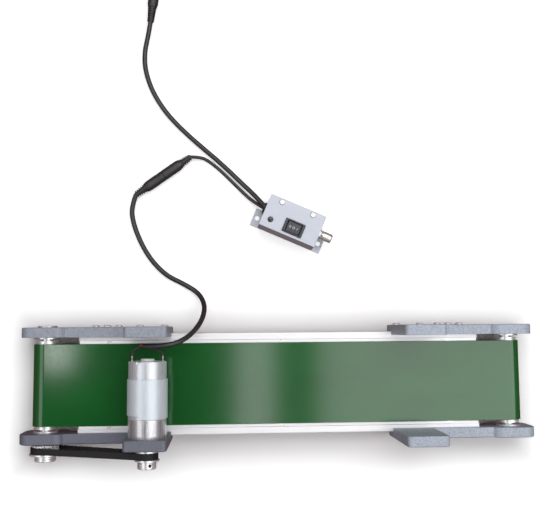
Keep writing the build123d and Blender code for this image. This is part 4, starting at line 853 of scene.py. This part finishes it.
def make_knob():
    """Bright turned knob with a collar and a pointer line."""
    centre = box_place(0, 0, KNOB_HEIGHT)

    core, collar = 3.3, KNOB_REACH - 0.15
    profile = [(0, KNOB_START + 3.0), (core, KNOB_START + 3.0), (core, KNOB_START),
               (KNOB_REACH - 0.5, KNOB_START), (collar, KNOB_START + 0.35), (collar, KNOB_START + 2.2),
               (KNOB_REACH - 0.5, KNOB_START + 2.35), (KNOB_REACH - 0.5, KNOB_START + 2.55)]
    profile += [(KNOB_REACH, KNOB_START + 2.7 + k * (KNOB_END - KNOB_START - 3.8) / 6) for k in range(7)]
    profile += [(KNOB_REACH - 0.2, KNOB_END - 0.9), (KNOB_REACH - 0.75, KNOB_END - 0.25),
                (KNOB_REACH - 1.2, KNOB_END), (0, KNOB_END)]
    bm = bmesh.new()
    turned(bm, centre, BOX_U, [(r * MM, s * MM) for r, s in profile], steps=128, side=Z_WAY)
    piece_from("speed_knob_turned", bm, "knob_metal", "knob", ("speed_knob",), sharp=50.0)
    bm = bmesh.new()
    add_block(bm, centre + BOX_U * (KNOB_END - 0.05) * MM + Z_WAY * 2.2 * MM, (BOX_V, Z_WAY, BOX_U),
              (0.6 * MM, 2.4 * MM, 0.12 * MM))
    piece_from("knob_pointer", bm, "fastener_black", "knob")


def make_lamp():
    """Domed lens with a short straight side."""
    low, high = low_corner("controller_led"), high_corner("controller_led")
    centre = (low + high) / 2
    base = Vector((centre.x, centre.y, low.z))
    height = high.z - low.z
    reach = (high.x - low.x) / 2
    bm = bmesh.new()
    rise = 0.8 * MM
    profile = [(0, 0), (reach, 0), (reach, height - rise)]
    for k in range(1, 6):
        turn = radians(15 * k)
        profile.append((reach * cos(turn), height - rise + rise * sin(turn)))
    turned(bm, base, Z_WAY, profile + [(0, height)], steps=64)
    piece_from("controller_lamp_lens", bm, "led_lens", stands_for=("controller_led",), sharp=60.0)


# ---- carried-over shapes with softened edges ------------------------------------------------

SOFT_NODES = {
    # node: (edge radius in mm, finish, body)
    "rail_front": (0.18, "extruded_aluminium", "frame"),
    "rail_rear": (0.18, "extruded_aluminium", "frame"),
    "deck_plate": (0.10, "sheet_aluminium", "frame"),
    "drive_bracket_front": (0.35, "bracket_smooth", "frame"),
    "drive_bracket_rear": (0.35, "bracket_nylon", "frame"),
    "idler_bracket_front": (0.35, "bracket_pale", "frame"),
    "idler_bracket_rear": (0.35, "bracket_pale", "frame"),
    "bracket_bolts": (0.12, "fastener_steel", "frame"),
    "bearing_outer_rings": (0.15, "bearing_steel", "frame"),
    "drive_bearing_inner_rings": (0.12, "bearing_steel", "drive_roller"),
    "idler_bearing_inner_rings": (0.12, "bearing_steel", "idler_roller"),
    "idler_axle_screws": (0.15, "fastener_steel", "idler_roller"),
    "drive_axle_screw": (0.15, "fastener_steel", "drive_roller"),
    "controller_base": (0.30, "box_paint", "frame"),
    "controller_cover": (0.35, "box_paint", "frame"),
    "controller_screws": (0.12, "fastener_steel", "frame"),
    "switch_body": (0.18, "switch_plastic", "frame"),
    "potentiometer": (0.12, "knob_metal", "frame"),
    "cable_grommet": (0.25, "connector_plastic", "frame"),
    "motor_terminals": (0.10, "brass_parts", "frame"),
    "roller_pulley": (0.08, "pulley_aluminium", "drive_roller"),
    "motor_pulley": (0.08, "pulley_aluminium", "motor_output"),
}


def soften_all():
    return {node: softened(node, width * MM, finish, body)
            for node, (width, finish, body) in SOFT_NODES.items()}


def finish_frame():
    """Every CAD node left showing gets its slot's material."""
    for part in frame["record"]["subparts"]:
        mesh = frame["nodes"][part["node"]].data
        mesh.materials.clear()
        mesh.materials.append(materials[part["material_slot"]])


# ---- floor and light -------------------------------------------------------------------------

# the floor's glow, and the rectangle under the conveyor where it fades out as a painted shade
FLOOR_GLOW = 0.42
FLOOR_HALF = 6.0
SHADE_HALF = (0.245, 0.058)   # half of the shaded rectangle in X and Y
SHADE_FADE = 0.045


def painted_shade_under_frame(tree, shader):
    """The floor glows with light of its own, and the glow fades out under the conveyor: a painted shade there
    that keeps the floor dark beneath it.
    """
    place = add_node(tree, "ShaderNodeTexCoord")
    split = add_node(tree, "ShaderNodeSeparateXYZ")
    tree.links.new(place.outputs["Object"], split.inputs["Vector"])
    outside = []
    for axis, half in zip("XY", SHADE_HALF):
        size = add_node(tree, "ShaderNodeMath", operation="ABSOLUTE")
        reach = add_node(tree, "ShaderNodeMath", operation="SUBTRACT")
        reach.inputs[1].default_value = half
        tree.links.new(split.outputs[axis], size.inputs[0])
        tree.links.new(size.outputs[0], reach.inputs[0])
        outside.append(reach)
    far = add_node(tree, "ShaderNodeMath", operation="MAXIMUM")
    tree.links.new(outside[0].outputs[0], far.inputs[0])
    tree.links.new(outside[1].outputs[0], far.inputs[1])
    glow = add_node(tree, "ShaderNodeMapRange", interpolation_type="SMOOTHSTEP")
    glow.inputs["From Min"].default_value = 0.0
    glow.inputs["From Max"].default_value = SHADE_FADE
    glow.inputs["To Min"].default_value = 0.0
    glow.inputs["To Max"].default_value = FLOOR_GLOW
    tree.links.new(far.outputs[0], glow.inputs["Value"])
    tree.links.new(glow.outputs["Result"], shader.inputs["Emission Strength"])


def make_floor():
    material, tree, shader = new_material("floor", 0.0, 0.8)
    noise = pattern(tree, (3, 3, 3))
    tint(tree, shader, noise.outputs["Fac"], (0.93, 0.93, 0.93), 0.02)
    shader.inputs["Emission Color"].default_value = (1, 1, 1, 1)
    # painted shade: the floor's glow is taken away under the conveyor
    painted_shade_under_frame(tree, shader)
    bm = bmesh.new()
    corners = ((-1, -1), (1, -1), (1, 1), (-1, 1))
    bm.faces.new([bm.verts.new((x * FLOOR_HALF, y * FLOOR_HALF, 0)) for x, y in corners])
    mesh = bpy.data.meshes.new("floor")
    bm.to_mesh(mesh)
    bm.free()
    mesh.materials.append(material)
    floor = bpy.data.objects.new("floor", mesh)
    bpy.context.scene.collection.objects.link(floor)
    floor.visible_diffuse = False
    floor.visible_glossy = False


PANEL_HEIGHT = 1.53
PANELS = {
    # name: (span in X, span in Y, brightness)
    "panel_narrow": ((-0.023, 0.086), (-0.35, 0.16), 3.6),
    "panel_wide": ((0.218, 2.6), (-0.35, 0.16), 2.7),
    "panel_small": ((-0.60, -0.50), (-0.05, 0.06), 9.0),
    "panel_rear": ((-0.7, 1.4), (0.35, 1.5), 2.3),
    "panel_front": ((-0.2, 1.4), (-1.5, -0.5), 0.85),
    "panel_left": ((-2.2, -0.85), (-0.5, 0.5), 1.6),
}


def add_panel(name, x_span, y_span, brightness):
    """A level soft panel overhead that shines straight down, not seen by the camera."""
    width, depth = x_span[1] - x_span[0], y_span[1] - y_span[0]
    data = bpy.data.lights.new(name, "AREA")
    data.shape = "RECTANGLE"
    data.size, data.size_y = width, depth
    data.energy = brightness * pi * width * depth
    lamp = bpy.data.objects.new(name, data)
    lamp.location = ((x_span[0] + x_span[1]) / 2, (y_span[0] + y_span[1]) / 2, PANEL_HEIGHT)
    lamp.visible_camera = False
    bpy.context.scene.collection.objects.link(lamp)


BENCH_BROWN = (0.13, 0.065, 0.060, 1)
ROOM_GREY = (0.27, 0.26, 0.27, 1)
CEILING_GREY = (0.06, 0.06, 0.06, 1)


def make_light():
    """The room round the conveyor, and the panels above it."""
    world = bpy.data.worlds.new("room")
    world.use_nodes = True
    tree = world.node_tree
    backdrop = tree.nodes["Background"]
    backdrop.inputs["Strength"].default_value = 1.0
    # a brown bench below the horizon, a grey room above it and a dark ceiling between the panels
    place = add_node(tree, "ShaderNodeTexCoord")
    split = add_node(tree, "ShaderNodeSeparateXYZ")
    ramp = add_node(tree, "ShaderNodeValToRGB")
    first, last = ramp.color_ramp.elements
    first.position, last.position = 0.0, 0.5
    first.color, last.color = BENCH_BROWN, ROOM_GREY
    ramp.color_ramp.elements.new(0.90).color = ROOM_GREY
    ramp.color_ramp.elements.new(0.955).color = CEILING_GREY
    tree.links.new(place.outputs["Generated"], split.inputs["Vector"])
    tree.links.new(split.outputs["Z"], ramp.inputs["Fac"])
    tree.links.new(ramp.outputs["Color"], backdrop.inputs["Color"])
    bpy.context.scene.world = world
    for name, (x_span, y_span, brightness) in PANELS.items():
        add_panel(name, x_span, y_span, brightness)


# ---- all of it ---------------------------------------------------------------------------------

bpy.context.scene.view_settings.view_transform = "Standard"
make_camera()
materials = make_materials()
leads = make_cords()
lead_plug, lead_socket, power_plug = make_connectors()
finish_frame()
soft = soften_all()
make_conveyor_belt()
make_timing_belt()
make_motor_can()
make_flux_ring()
make_gearbox()
make_end_cap()
make_motor_wires()
make_lead_sleeve()
make_bearing_shields()
make_bearing_cap()
make_rocker()
make_knob()
make_lamp()
make_floor()
make_light()
